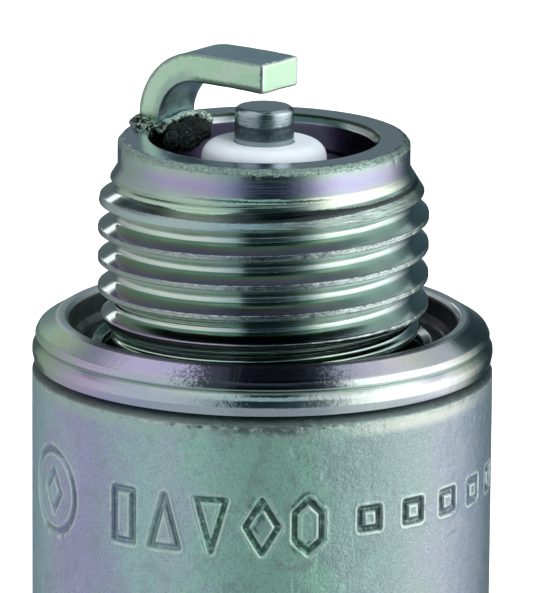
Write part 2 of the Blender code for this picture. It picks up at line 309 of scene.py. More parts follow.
def helical_grid(offsets, pitch, crest0, z_bot, z_top, cols, radius_at, offset=0):
    """A threaded surface between two heights, its rows following the helix.
    radius_at(z, theta, crest_distance) gives the radius. Rows run downwards."""
    u = helical_rows(offsets, pitch, crest0, z_bot, z_top)[::-1]
    n, rows = len(offsets), len(u)
    th = np.arange(cols) / cols * TAU
    z_free = u[:, None] + pitch * th[None, :] / TAU
    z = np.clip(z_free, z_bot, z_top)
    tt = np.repeat(th[None, :], rows, axis=0)
    from_crest = (z - crest0 - pitch * tt / TAU + pitch / 2) % pitch - pitch / 2
    r = radius_at(z.ravel(), tt.ravel(), from_crest.ravel()).reshape(z.shape)
    v = np.stack([r * np.cos(tt), r * np.sin(tt), z], axis=2).reshape(-1, 3)
    faces = []
    for i in range(rows - 1):
        for j in range(cols):
            if j < cols - 1:
                a, b, c, d = i * cols + j, (i + 1) * cols + j, (i + 1) * cols + j + 1, i * cols + j + 1
            else:
                # One turn on, the same row is a pitch higher.
                up, up2 = max(i - n, 0), max(i + 1 - n, 0)
                a, b, c, d = i * cols + j, (i + 1) * cols + j, up2 * cols, up * cols
            quad = v[[a, b, c, d], 2]
            if quad.max() - quad.min() < 1e-9 or (quad.min() >= z_top) or (quad.max() <= z_bot):
                continue
            faces.append((offset + a, offset + b, offset + c, offset + d))
    return v, faces


def smin(a, b, k):
    h = np.clip(0.5 + 0.5 * (b - a) / k, 0, 1)
    return b + (a - b) * h - k * h * (1 - h)


def smax(a, b, k):
    return -smin(-np.asarray(a, float), -np.asarray(b, float), k)


# =============================================================================
# Shader helpers
# =============================================================================


class Shader:
    """Writes a material's nodes as expressions."""

    def __init__(self, name, tree=None):
        self.mat = None
        if tree is None:
            self.mat = bpy.data.materials.new(name)
            self.mat.use_nodes = True
            tree = self.mat.node_tree
            self.bsdf = tree.nodes["Principled BSDF"]
        self.tree = tree
        self._mm = None

    def new(self, kind, **props):
        node = self.tree.nodes.new(kind)
        for key, value in props.items():
            setattr(node, key, value)
        return node

    def put(self, socket, value):
        if isinstance(value, bpy.types.NodeSocket):
            self.tree.links.new(value, socket)
        elif isinstance(value, (tuple, list)) and socket.type == "RGBA" and len(value) == 3:
            socket.default_value = (*value, 1.0)
        else:
            socket.default_value = value

    def math(self, op, a, b=None, c=None, clamp=False):
        node = self.new("ShaderNodeMath", operation=op, use_clamp=clamp)
        for i, x in enumerate((a, b, c)):
            if x is not None:
                self.put(node.inputs[i], x)
        return node.outputs[0]

    def add(self, *xs):
        total = xs[0]
        for x in xs[1:]:
            total = self.math("ADD", total, x)
        return total

    def mul(self, *xs):
        total = xs[0]
        for x in xs[1:]:
            total = self.math("MULTIPLY", total, x)
        return total

    def mm(self):
        """Object-space position in millimetres."""
        if self._mm is None:
            tex = self.new("ShaderNodeTexCoord")
            node = self.new("ShaderNodeVectorMath", operation="SCALE")
            self.put(node.inputs[0], tex.outputs["Object"])
            node.inputs["Scale"].default_value = 1000.0
            self._mm = node.outputs[0]
        return self._mm

    def xyz(self, v=None):
        node = self.new("ShaderNodeSeparateXYZ")
        self.put(node.inputs[0], self.mm() if v is None else v)
        return node.outputs[0], node.outputs[1], node.outputs[2]

    def vec(self, x, y, z):
        node = self.new("ShaderNodeCombineXYZ")
        for i, c in enumerate((x, y, z)):
            self.put(node.inputs[i], c)
        return node.outputs[0]

    def turned(self):
        """(azimuth in radians from the plug's front, radius, height), millimetres."""
        x, y, z = self.xyz()
        phi = self.math("ARCTAN2", x, self.mul(y, -1.0))
        r = self.math("SQRT", self.add(self.mul(x, x), self.mul(y, y)))
        return phi, r, z

    def noise(self, v, scale, detail=3.0, rough=0.5, distortion=0.0):
        node = self.new("ShaderNodeTexNoise", noise_dimensions="3D")
        self.put(node.inputs["Vector"], v)
        node.inputs["Scale"].default_value = scale
        node.inputs["Detail"].default_value = detail
        node.inputs["Roughness"].default_value = rough
        node.inputs["Distortion"].default_value = distortion
        return node.outputs["Fac"]

    def voronoi(self, v, scale, feature="F1", out="Distance"):
        node = self.new("ShaderNodeTexVoronoi", feature=feature)
        self.put(node.inputs["Vector"], v)
        node.inputs["Scale"].default_value = scale
        return node.outputs[out]

    def remap(self, x, a, b, c=0.0, d=1.0, kind="SMOOTHSTEP"):
        node = self.new("ShaderNodeMapRange", interpolation_type=kind)
        for i, value in enumerate((x, a, b, c, d)):
            self.put(node.inputs[i], value)
        return node.outputs[0]

    def ramp(self, fac, stops, interpolation="LINEAR"):
        node = self.new("ShaderNodeValToRGB")
        ramp = node.color_ramp
        ramp.interpolation = interpolation
        stops = sorted(stops)
        while len(ramp.elements) < len(stops):
            ramp.elements.new(0.5)
        for element, (at, colour) in zip(ramp.elements, stops):
            element.position = at
            if not isinstance(colour, (tuple, list)):
                colour = (colour, colour, colour)
            element.color = (*colour, 1.0)
        self.put(node.inputs[0], fac)
        return node.outputs[0]

    def mix(self, fac, a, b, blend="MIX"):
        node = self.new("ShaderNodeMix", data_type="RGBA", blend_type=blend)
        self.put(node.inputs[0], fac)
        self.put(node.inputs[6], a)
        self.put(node.inputs[7], b)
        return node.outputs[2]

    def lerp(self, fac, a, b):
        node = self.new("ShaderNodeMix", data_type="FLOAT")
        self.put(node.inputs[0], fac)
        self.put(node.inputs[2], a)
        self.put(node.inputs[3], b)
        return node.outputs[0]

    def bump(self, height, depth_mm, strength=1.0, normal=None):
        """Height from 0 to 1 stands for depth_mm of relief."""
        node = self.new("ShaderNodeBump")
        node.inputs["Strength"].default_value = strength
        node.inputs["Distance"].default_value = depth_mm * MM
        self.put(node.inputs["Height"], height)
        if normal is not None:
            self.put(node.inputs["Normal"], normal)
        return node.outputs[0]

    def set(self, **values):
        names = {
            "colour": "Base Color",
            "metallic": "Metallic",
            "roughness": "Roughness",
            "normal": "Normal",
            "aniso": "Anisotropic",
            "tangent": "Tangent",
            "coat": "Coat Weight",
            "coat_roughness": "Coat Roughness",
            "specular": "Specular IOR Level",
            "ior": "IOR",
            "sss": "Subsurface Weight",
            "emission": "Emission Color",
            "emission_strength": "Emission Strength",
        }
        for key, value in values.items():
            self.put(self.bsdf.inputs[names[key]], value)
        return self.mat


def radial_tangent(sh):
    return sh.new("ShaderNodeTangent", direction_type="RADIAL", axis="Z").outputs[0]


# sRGB to linear, for colours read as 0-255
def rgb(r, g, b):
    out = []
    for c in (r, g, b):
        c = c / 255.0
        out.append(c / 12.92 if c <= 0.04045 else ((c + 0.055) / 1.055) ** 2.4)
    return tuple(out)


def around(degrees):
    """Where an azimuth from the front falls on a ramp that runs once round."""
    return (degrees + 180.0) / 360.0


# =============================================================================
# Materials
# =============================================================================

GREEN = (0.60, 0.82, 0.69)
VIOLET = (0.70, 0.70, 0.88)
BLUE_GREY = (0.62, 0.73, 0.78)
PALE = (0.84, 0.90, 0.88)


def zinc_barrel():
    """Clear-passivated zinc, its film thickness changing round the barrel."""
    sh = Shader("zinc_barrel")
    phi, r, z = sh.turned()
    turn_ = sh.math("DIVIDE", sh.add(phi, math.pi), TAU)
    p = sh.mm()
    blotch = sh.noise(p, 0.42, 5, 0.60, 0.5)
    patch = sh.noise(p, 1.1, 5, 0.62, 0.4)
    fine = sh.noise(p, 4.0, 5, 0.65)
    grain = sh.noise(p, 11.0, 4, 0.65)
    where = sh.add(turn_, sh.mul(sh.add(blotch, -0.5), 0.10), sh.mul(sh.add(patch, -0.5), 0.03))
    # The film's colour round the barrel: darker from about 20° round to the right edge, partly the film's own colour
    # and partly painted shade.
    film = sh.ramp(
        where,
        [
            (0.0, GREEN),
            (around(-120), VIOLET),
            (around(-88), (0.52, 0.73, 0.84)),
            (around(-70), (0.55, 0.80, 0.86)),
            (around(-60), (0.62, 0.66, 0.90)),
            (around(-50), (0.58, 0.57, 0.86)),
            (around(-42), (0.53, 0.58, 0.80)),
            (around(-31), (0.54, 0.82, 0.80)),
            (around(-21), (0.64, 0.83, 0.87)),
            (around(-13), (0.60, 0.98, 0.83)),
            (around(-5), (0.58, 1.00, 0.82)),
            (around(10), (0.53, 0.92, 0.72)),
            (around(20), (0.45, 0.67, 0.63)),
            (around(30), (0.36, 0.51, 0.50)),
            (around(42), (0.43, 0.53, 0.52)),
            (around(52), (0.48, 0.52, 0.60)),
            (around(62), (0.38, 0.45, 0.57)),
            (around(67), (0.37, 0.45, 0.55)),
            (around(74), (0.27, 0.36, 0.46)),
            (around(86), (0.26, 0.35, 0.38)),
            (around(120), GREEN),
            (1.0, GREEN),
        ],
    )
    # The pressed marks are painted darker inside: painted shade in their grooves.
    pressed = sh.new("ShaderNodeAttribute", attribute_type="GEOMETRY", attribute_name="pressed").outputs["Fac"]
    # Fine-grained mottling.
    film = sh.mix(sh.mul(sh.remap(grain, 0.48, 0.36), 0.44), film, (0.28, 0.40, 0.38))
    film = sh.mix(sh.mul(sh.remap(grain, 0.53, 0.64), 0.38), film, (0.80, 0.92, 0.88))
    film = sh.mix(sh.mul(sh.remap(patch, 0.52, 0.68), 0.40), film, (0.42, 0.50, 0.52))
    # Below the upper edge a paler worn strip, painted brighter towards the right as a painted highlight; the edge
    # itself is bare and nicked.
    wander = sh.add(z, sh.mul(sh.add(fine, -0.5), 0.20))
    right = sh.remap(sh.add(phi, sh.mul(sh.add(blotch, -0.5), 0.4)), 0.25, 0.65)
    strip = sh.mul(sh.remap(wander, -1.10, -0.70), sh.remap(wander, -0.30, -0.40))
    strip_film = sh.mix(right, (0.58, 0.80, 0.70), (0.98, 1.0, 0.88))
    film = sh.mix(sh.mul(strip, sh.add(0.62, sh.mul(sh.remap(phi, 0.95, 1.25), -0.50))), film, strip_film)
    worn = sh.noise(sh.vec(sh.mul(phi, 22.0), sh.mul(r, 2.0), sh.mul(z, 5.0)), 1.0, 4, 0.6)
    edge = sh.mul(sh.remap(wander, -0.56, -0.44), sh.remap(wander, -0.20, -0.30))
    centre = sh.mul(sh.remap(phi, -0.75, -0.35), sh.remap(phi, 0.55, 0.30))
    edge_film = sh.ramp(worn, [(0.36, (0.03, 0.05, 0.05)), (0.45, (0.30, 0.42, 0.38)), (0.56, (0.74, 0.88, 0.80)), (0.70, (0.98, 1.0, 0.98))])
    film = sh.mix(sh.mul(edge, sh.add(0.35, sh.mul(centre, 0.55))), film, edge_film)
    smear = sh.mul(sh.remap(z, -0.86, -0.56), sh.remap(fine, 0.40, 0.55), sh.remap(phi, -0.30, -0.05), sh.remap(phi, 0.26, 0.12))
    film = sh.mix(sh.mul(smear, 0.75), film, (0.12, 0.18, 0.17))
    # The upper chamfer is painted dark, darkest at the top: a painted shadow under the gasket.
    chamfer_at = sh.add(z, sh.mul(sh.add(worn, -0.5), 0.12))
    chamfer_film = sh.ramp(sh.add(chamfer_at, 0.5), [(0.10, (0.46, 0.58, 0.54)), (0.22, (0.17, 0.22, 0.21)), (0.36, (0.05, 0.065, 0.07)), (0.48, (0.02, 0.03, 0.03))])
    chamfer = sh.remap(chamfer_at, -0.44, -0.32)
    film = sh.mix(sh.mul(chamfer, 0.94), film, chamfer_film)
    # Pressed lines: painted shade in the bottom, stronger towards the front, and painted highlights on the raised
    # rims.
    groove_shade = sh.mul(sh.remap(pressed, 0.1, 0.7), sh.remap(fine, 0.30, 0.55))
    near_front = sh.mul(sh.remap(phi, -0.42, -0.12), sh.remap(phi, 1.20, 0.60))
    film = sh.mix(sh.mul(groove_shade, sh.add(0.38, sh.mul(near_front, 0.50))), film, (0.07, 0.11, 0.10))
    film = sh.mix(sh.mul(sh.remap(pressed, -0.1, -0.6), sh.remap(patch, 0.36, 0.48), 0.80), film, (0.84, 1.0, 0.90))
    # Small bright scratches.
    scratch = sh.remap(sh.noise(sh.vec(sh.mul(phi, 18.0), sh.mul(r, 1.0), sh.mul(z, 0.9)), 1.0, 6, 0.72, 1.6), 0.700, 0.725)
    film = sh.mix(sh.mul(scratch, 0.55), film, (0.92, 0.96, 0.94))
    rough = sh.add(0.28, sh.mul(blotch, 0.10), sh.mul(fine, 0.10), sh.mul(grain, 0.08), sh.mul(chamfer, -0.20))
    bumps = sh.add(sh.mul(patch, 1.2), sh.mul(fine, 0.60), sh.mul(grain, 0.45))
    return sh.set(
        colour=film,
        metallic=0.82,
        roughness=rough,
        normal=sh.bump(bumps, 0.036),
    )


def zinc_thread():
    """The same zinc on the thread and collar: violet and green on the flanks,
    bare and rough on the crests."""
    sh = Shader("zinc_thread")
    phi, r, z = sh.turned()
    p = sh.mm()
    turns = sh.math("DIVIDE", sh.add(sh.math("ARCTAN2", *sh.xyz()[1::-1]), 0.0), TAU)
    # Distance up from the crest below, as a share of the pitch: the flank that
    # faces up comes first, then the root, then the flank that faces down.
    share = sh.math("FRACT", sh.add(sh.math("DIVIDE", sh.add(z, -CREST_0), PITCH), sh.mul(turns, -1.0), 8.0))
    blotch = sh.noise(p, 0.6, 4, 0.55, 0.3)
    wander = sh.add(share, sh.mul(sh.add(blotch, -0.5), 0.12))
    # Along the pitch: a bright line along the root, a painted highlight, and the flank that faces down painted darker,
    # painted shade.
    flank = sh.ramp(
        wander,
        [
            (0.00, (0.66, 0.74, 0.70)),
            (0.07, (0.52, 0.46, 0.62)),
            (0.15, (0.60, 0.46, 0.72)),
            (0.20, (0.66, 0.57, 0.60)),
            (0.25, (0.72, 0.78, 0.55)),
            (0.31, (0.68, 0.90, 0.66)),
            (0.40, (0.70, 0.98, 0.82)),
            (0.46, (0.92, 1.00, 0.95)),
            (0.53, (0.92, 1.00, 0.97)),
            (0.58, (0.52, 0.64, 0.60)),
            (0.64, (0.22, 0.30, 0.28)),
            (0.86, (0.26, 0.33, 0.31)),
            (0.92, (0.50, 0.60, 0.57)),
            (0.99, (0.62, 0.70, 0.66)),
        ],
    )
    # The film is thinner, so greener and plainer, on the right; here too the root carries a painted highlight and the
    # flank that faces down painted shade.
    plain = sh.ramp(
        wander,
        [
            (0.00, (0.74, 0.82, 0.78)),
            (0.09, (0.46, 0.52, 0.52)),
            (0.30, (0.42, 0.56, 0.49)),
            (0.42, (0.52, 0.66, 0.60)),
            (0.48, (0.84, 0.93, 0.90)),
            (0.53, (0.84, 0.93, 0.90)),
            (0.60, (0.40, 0.50, 0.47)),
            (0.86, (0.34, 0.42, 0.40)),
            (0.94, (0.70, 0.78, 0.76)),
        ],
    )
    flank = sh.mix(sh.remap(sh.add(phi, sh.mul(sh.add(blotch, -0.5), 0.9)), 0.10, 0.65), flank, plain)
    # The flanks that face up carry painted highlights: pale on the far left and a less pale tint on the far right.
    facing_up = sh.mul(sh.remap(wander, 0.03, 0.08), sh.remap(wander, 0.46, 0.40))
    flank = sh.mix(sh.mul(facing_up, sh.remap(phi, -1.13, -1.24)), flank, (0.82, 0.90, 0.87))
    flank = sh.mix(sh.mul(facing_up, sh.remap(phi, 0.86, 1.02), 0.80), flank, (0.66, 0.86, 0.80))
    flank = sh.mix(sh.mul(facing_up, sh.remap(phi, 1.10, 1.20), 0.85), flank, (0.70, 0.84, 0.88))
    # The root next to the collar is painted brighter, a painted highlight, and the first flank carries soot.
    pits = sh.noise(p, 7.5, 4, 0.65)
    climb = sh.add(
        sh.math("DIVIDE", sh.add(z, -CREST_0), PITCH), sh.mul(turns, -1.0), sh.mul(sh.add(pits, -0.5), 0.07)
    )
    first_root = sh.mul(sh.remap(climb, 6.38, 6.46), sh.remap(z, 8.34, 8.28))
    root_left = sh.ramp(
        sh.remap(climb, 6.40, 6.92, kind="LINEAR"),
        [
            (0.0, (0.40, 0.60, 0.44)),
            (0.16, (0.78, 1.00, 0.80)),
            (0.28, (0.50, 0.76, 0.56)),
            (0.42, (0.92, 1.00, 0.90)),
            (0.58, (0.62, 0.86, 0.66)),
            (0.74, (0.62, 0.82, 0.70)),
            (0.86, (0.60, 0.76, 0.70)),
            (1.0, (0.54, 0.66, 0.70)),
        ],
    )
    first_film = sh.mix(sh.remap(phi, 0.10, 0.50), root_left, (0.90, 0.96, 0.82))
    seam_at = sh.math("ABSOLUTE", sh.math("SUBTRACT", sh.add(z, sh.mul(sh.add(pits, -0.5), 0.16)), 8.17))
    seam = sh.mul(sh.remap(seam_at, 0.055, 0.025), sh.remap(phi, -0.70, -0.10), sh.remap(phi, 0.55, 0.30))
    first_film = sh.mix(sh.mul(seam, 0.9), first_film, (0.05, 0.08, 0.07))
    flank = sh.mix(sh.mul(first_root, 0.92), flank, first_film)
    # The collar: violet, greener towards the left and at its edges, finely lined.
    fine_lines = sh.noise(sh.vec(sh.mul(phi, 0.8), 0.0, sh.mul(z, 26.0)), 1.0, 4, 0.7)
    band = sh.add(z, sh.mul(sh.add(blotch, -0.5), 0.5), sh.mul(sh.add(fine_lines, -0.5), 0.25))
    collar = sh.ramp(
        sh.remap(band, 8.25, 9.45, kind="LINEAR"),
        [
            (0.00, (0.50, 0.60, 0.56)),
            (0.14, (0.56, 0.56, 0.72)),
            (0.32, (0.54, 0.50, 0.76)),
            (0.52, (0.58, 0.55, 0.78)),
            (0.66, (0.56, 0.62, 0.68)),
            (0.82, (0.52, 0.70, 0.60)),
            (1.00, (0.46, 0.60, 0.56)),
        ],
    )
    left_end = sh.remap(sh.add(phi, sh.mul(sh.add(blotch, -0.5), 0.5)), -0.70, -1.05)
    collar = sh.mix(sh.mul(left_end, 0.85), collar, (0.46, 0.66, 0.58))
    collar = sh.mix(sh.mul(sh.remap(phi, 0.3, 0.9), 0.45), collar, (0.44, 0.46, 0.54))
    in_collar = sh.mul(sh.remap(z, 8.24, 8.34), sh.remap(r, 5.95, 6.02))
    film = sh.mix(in_collar, flank, collar)
    ring = sh.mul(sh.remap(z, 9.38, 9.46), sh.remap(r, 4.74, 4.78))
    ring_film = sh.ramp(sh.noise(sh.vec(sh.mul(r, 14.0), sh.mul(phi, 1.2), 0.0), 1.0, 4, 0.6), [(0.3, (0.46, 0.55, 0.64)), (0.7, (0.61, 0.70, 0.80))])
    film = sh.mix(ring, film, ring_film)
    bore = sh.remap(r, 4.70, 4.63)
    film = sh.mix(bore, film, (0.46, 0.40, 0.54))
    # The bore's mouth chamfer: a painted highlight along its lower edge and a painted shade line near its upper edge.
    mouth = sh.mul(sh.remap(z, 9.12, 9.16), sh.remap(r, 4.84, 4.82))
    mouth_film = sh.ramp(sh.add(z, sh.mul(sh.add(pits, -0.5), 0.08), -9.0), [(0.13, (0.95, 0.97, 1.0)), (0.20, (0.50, 0.60, 0.59)), (0.34, (0.42, 0.52, 0.50)), (0.39, (0.04, 0.06, 0.05)), (0.47, (0.05, 0.08, 0.06)), (0.50, (0.30, 0.44, 0.38))])
    film = sh.mix(mouth, film, mouth_film)
    rim = sh.mul(sh.remap(sh.add(z, sh.mul(sh.add(pits, -0.5), 0.40)), 9.23, 9.30), sh.remap(r, 5.78, 5.90))
    rim_specks = sh.noise(p, 10.5, 6, 0.74, 0.6)
    rim_film = sh.ramp(rim_specks, [(0.36, (0.05, 0.08, 0.08)), (0.46, (0.34, 0.48, 0.42)), (0.56, (0.60, 0.86, 0.70)), (0.70, (0.84, 0.96, 0.88))])
    film = sh.mix(sh.mul(rim, sh.add(0.74, sh.mul(sh.remap(phi, -0.45, -0.85), -0.30))), film, rim_film)
    rough_metal = sh.noise(sh.vec(sh.mul(phi, 46.0), sh.mul(r, 5.0), sh.mul(z, 11.0)), 1.0, 4, 0.62)
    # Crests: those cut down by the taper are the roughest.
    edge_r = sh.ramp(sh.remap(z, 6.4, 8.4, kind="LINEAR"), [(0.0, 6.82), (0.38, 6.72), (1.0, 6.03)])
    near_edge = sh.math("SUBTRACT", r, sh.math("ADD", sh.xyz(edge_r)[0], 0.0))
    on_crest = sh.mul(sh.remap(near_edge, -0.03, 0.03), sh.remap(z, 8.05, 7.95))
    crest_film = sh.ramp(rough_metal, [(0.30, (0.20, 0.27, 0.25)), (0.44, (0.42, 0.51, 0.48)), (0.60, (0.54, 0.64, 0.60)), (0.74, (0.80, 0.90, 0.87))])
    # Their upper corner is nicked bright, with dark notches.
    nicks = sh.noise(sh.vec(sh.mul(phi, 21.0), sh.mul(r, 3.0), sh.mul(z, 7.0)), 1.0, 6, 0.76)
    corner = sh.mul(sh.remap(share, 0.030, 0.055), sh.remap(share, 0.15, 0.10))
    nicked = sh.ramp(nicks, [(0.36, (0.10, 0.13, 0.13)), (0.47, (0.40, 0.48, 0.45)), (0.60, (0.84, 0.92, 0.90))])
    crest_film = sh.mix(sh.mul(corner, 0.85), crest_film, nicked)
    crest_film = sh.mix(sh.mul(sh.remap(phi, -0.35, -0.75), 0.55), crest_film, (0.34, 0.44, 0.42))
    first_ridge = sh.mul(sh.remap(climb, 5.80, 5.86), sh.remap(climb, 6.40, 6.30))
    crest_film = sh.mix(sh.mul(first_ridge, sh.remap(phi, 0.3, -0.1), 0.75), crest_film, (0.60, 0.82, 0.80))
    streaked = sh.noise(sh.vec(sh.mul(phi, 7.0), sh.mul(r, 9.0), sh.mul(z, 13.0)), 1.0, 5, 0.66)
    ridge_film = sh.ramp(streaked, [(0.34, (0.10, 0.14, 0.13)), (0.46, (0.30, 0.40, 0.36)), (0.58, (0.48, 0.60, 0.54)), (0.70, (0.80, 0.92, 0.88))])
    plain_ridge = sh.mul(first_ridge, sh.remap(phi, -0.10, 0.20))
    crest_film = sh.mix(sh.mul(plain_ridge, 0.9), crest_film, ridge_film)
    crest = sh.mul(on_crest, 0.9)
    film = sh.mix(crest, film, crest_film)
    # Soot lies on the first flank under the collar.
    dip = sh.mul(sh.remap(phi, -0.78, -0.50), sh.remap(phi, -0.12, -0.36))
    soot_top = sh.add(6.43, sh.mul(dip, -0.09), sh.mul(sh.remap(phi, 0.15, 0.75), -0.12))
    soot_low = sh.add(6.20, sh.mul(sh.remap(phi, -0.9, -0.1), -0.07), sh.mul(sh.remap(phi, 0.2, 0.8), 0.05))
    soot = sh.mul(
        sh.remap(sh.math("SUBTRACT", climb, soot_low), -0.015, 0.015),
        sh.remap(sh.math("SUBTRACT", soot_top, climb), -0.015, 0.015),
    )
    soot_film = sh.mix(sh.remap(phi, -0.75, -1.0), (0.05, 0.06, 0.065), (0.11, 0.16, 0.18))
    soot_share = sh.mul(soot, sh.remap(phi, -1.20, -1.06), sh.add(0.94, sh.mul(dip, -0.30)))
    film = sh.mix(soot_share, film, soot_film)
    streak = sh.noise(sh.vec(sh.mul(phi, 1.5), 0.0, sh.mul(z, 11.0)), 1.0, 5, 0.7)
    rings = sh.noise(sh.vec(sh.mul(r, 12.0), sh.mul(phi, 1.0), 0.0), 1.0, 5, 0.7)
    fine = sh.noise(p, 5.0, 5, 0.65)
    lines = sh.lerp(ring, streak, rings)
    rough = sh.add(
        0.06, sh.mul(crest, 0.14), sh.mul(ring, 0.05), sh.mul(rim, 0.16), sh.mul(fine, 0.07), sh.mul(bore, 0.06)
    )
    smooth_left = sh.remap(phi, -1.08, -1.20)
    first = sh.bump(sh.add(sh.mul(lines, sh.add(0.42, sh.mul(smooth_left, -0.34))), sh.mul(fine, sh.add(0.30, sh.mul(smooth_left, -0.22)))), 0.009)
    worn = sh.add(sh.mul(crest, rough_metal, sh.add(0.5, sh.mul(plain_ridge, -0.35))), sh.mul(rim, rim_specks, 0.9), sh.mul(in_collar, fine_lines, 0.30))
    return sh.set(
        colour=film,
        metallic=1.0,
        roughness=rough,
        normal=sh.bump(worn, 0.028, normal=first),
    )


def zinc_hexagon():
    sh = Shader("zinc_hexagon")
    phi, r, z = sh.turned()
    p = sh.mm()
    blotch = sh.noise(p, 0.3, 4, 0.55, 0.5)
    fine = sh.noise(p, 4.0, 5, 0.6)
    film = sh.ramp(
        blotch,
        [(0.25, GREEN), (0.42, BLUE_GREY), (0.52, VIOLET), (0.62, (0.64, 0.78, 0.74)), (0.8, GREEN)],
    )
    film = sh.mix(sh.mul(sh.remap(sh.noise(p, 9.0, 3, 0.6), 0.62, 0.72), 0.4), film, PALE)
    film = sh.mix(0.45, film, (0.30, 0.36, 0.37))
    drawn = sh.noise(sh.vec(sh.mul(phi, 14.0), 0.0, sh.mul(z, 0.6)), 1.0, 4, 0.6)
    rough = sh.add(0.26, sh.mul(blotch, 0.10), sh.mul(fine, 0.08))
    return sh.set(
        colour=film,
        metallic=1.0,
        roughness=rough,
        normal=sh.bump(sh.add(sh.mul(drawn, 0.6), sh.mul(fine, 0.4), sh.noise(p, 0.9, 5, 0.6)), 0.022),
    )


def gasket_zinc():
    sh = Shader("gasket_zinc")
    phi, r, z = sh.turned()
    p = sh.mm()
    turn_ = sh.math("DIVIDE", sh.add(phi, math.pi), TAU)
    blotch = sh.noise(p, 0.5, 4, 0.55, 0.4)
    where = sh.add(turn_, sh.mul(sh.add(blotch, -0.5), 0.06))
    # Film colour round the ring and the slope. The slope is painted near-white from about 30° to 56°, a painted
    # highlight, and both are painted dark at the right end, painted shade.
    ring = sh.ramp(
        where,
        [
            (0.0, (0.60, 0.60, 0.68)),
            (around(-88), (0.44, 0.66, 0.54)),
            (around(-70), (0.52, 0.76, 0.52)),
            (around(-52), (0.72, 0.62, 0.88)),
            (around(-30), (0.62, 0.70, 0.84)),
            (around(-12), (0.70, 0.82, 0.78)),
            (around(12), (0.76, 0.84, 0.84)),
            (around(28), (0.80, 0.92, 0.86)),
            (around(50), (0.84, 0.84, 0.92)),
            (around(62), (0.84, 0.90, 0.78)),
            (around(74), (0.42, 0.47, 0.42)),
            (around(85), (0.26, 0.31, 0.30)),
            (1.0, (0.60, 0.60, 0.68)),
        ],
    )
    slope = sh.ramp(
        where,
        [
            (0.0, VIOLET),
            (around(-88), (0.46, 0.66, 0.58)),
            (around(-76), (0.64, 0.92, 0.70)),
            (around(-64), (0.84, 0.98, 0.70)),
            (around(-50), (0.84, 0.74, 0.98)),
            (around(-28), (0.70, 0.62, 0.92)),
            (around(0), (0.72, 0.68, 0.92)),
            (around(30), (0.86, 0.82, 1.00)),
            (around(38), (0.98, 0.95, 1.00)),
            (around(45), (1.00, 0.98, 0.92)),
            (around(56), (0.95, 0.90, 1.00)),
            (around(66), (0.74, 0.80, 0.78)),
            (around(76), (0.34, 0.38, 0.38)),
            (around(85), (0.26, 0.30, 0.30)),
            (1.0, VIOLET),
        ],
    )
    film = sh.mix(sh.mul(sh.remap(r, 9.42, 9.20), sh.remap(z, 1.05, 1.25)), ring, slope)
    # Painted darker in the groove between the slope and the lower ring: painted shade.
    groove = sh.mul(sh.remap(r, 9.46, 9.38), sh.remap(z, 0.92, 0.97), sh.remap(z, 1.12, 1.06))
    film = sh.mix(sh.mul(groove, 0.85), film, (0.34, 0.48, 0.40))
    # The lip is painted dark round the front, a painted dark reflection, and pale towards both ends, a painted
    # highlight.
    lip = sh.mul(sh.remap(r, 8.66, 8.60), sh.remap(z, 1.70, 1.78))
    lip_film = sh.mix(sh.remap(sh.math("ABSOLUTE", phi), 0.90, 1.20), (0.06, 0.075, 0.09), (0.90, 0.96, 0.98))
    film = sh.mix(sh.mul(lip, 0.88), film, lip_film)
    specks = sh.noise(p, 9.0, 5, 0.70)
    film = sh.mix(sh.mul(sh.remap(specks, 0.58, 0.66), 0.40), film, (0.92, 0.98, 0.96))
    film = sh.mix(sh.mul(sh.remap(specks, 0.42, 0.34), 0.40), film, (0.40, 0.48, 0.50))
    # The folded inner wall is dull and painted dark, a painted shade, nearly black on the right.
    inner = sh.mul(sh.remap(r, 8.46, 8.34), sh.remap(r, 7.0, 7.3), sh.remap(z, 1.80, 1.72))
    inner_wall_shade = sh.ramp(sh.noise(p, 1.4, 4, 0.6), [(0.3, (0.07, 0.08, 0.09)), (0.6, (0.16, 0.19, 0.18)), (0.8, (0.34, 0.38, 0.36))])
    inner_wall_shade = sh.mix(sh.mul(sh.remap(phi, 0.2, 0.9), sh.remap(r, 7.6, 7.8), 0.92), inner_wall_shade, (0.018, 0.020, 0.028))
    film = sh.mix(sh.mul(inner, 0.98), film, inner_wall_shade)
    # Dark and streaked along the middle of the slope, round the front: a painted dark reflection.
    streaks = sh.noise(sh.vec(sh.mul(phi, 88.0), sh.mul(r, 7.0), sh.mul(z, 7.0)), 1.0, 5, 0.66)
    ragged = sh.add(phi, sh.mul(sh.add(streaks, -0.5), 0.46), sh.mul(sh.add(blotch, -0.5), 0.15))
    middle = sh.mul(sh.remap(ragged, -0.42, -0.24), sh.remap(ragged, 0.44, 0.22))
    film = sh.mix(sh.mul(middle, sh.remap(z, 1.10, 1.22), 0.94), film, (0.045, 0.05, 0.07))
    radial_marks = sh.noise(sh.vec(sh.mul(phi, 34.0), sh.mul(r, 0.5), sh.mul(z, 0.8)), 1.0, 4, 0.6)
    around_marks = sh.noise(sh.vec(sh.mul(phi, 1.0), sh.mul(r, 9.0), sh.mul(z, 9.0)), 1.0, 4, 0.6)
    fine = sh.noise(p, 5.0, 4, 0.6)
    soft_end = sh.mul(sh.remap(phi, -0.85, -1.10), sh.remap(z, 0.98, 1.06))
    rough = sh.add(0.08, sh.mul(fine, 0.05), sh.mul(blotch, 0.04), sh.mul(soft_end, 0.26), sh.mul(inner, 0.12), sh.mul(lip, 0.06))
    dents = sh.noise(sh.vec(sh.mul(phi, 26.0), sh.mul(r, 2.0), sh.mul(z, 4.0)), 1.0, 4, 0.66)
    dented = sh.mul(sh.remap(z, 0.30, 0.45), sh.remap(z, 0.95, 0.85), sh.remap(phi, -0.55, -0.25), sh.remap(phi, 0.55, 0.30))
    bumps = sh.add(sh.mul(radial_marks, 0.45), sh.mul(around_marks, 0.20), sh.mul(fine, 0.25), sh.mul(dents, dented, 2.6))
    return sh.set(colour=film, metallic=1.0, roughness=rough, normal=sh.bump(bumps, 0.009))


STRAP_MID = 0.13


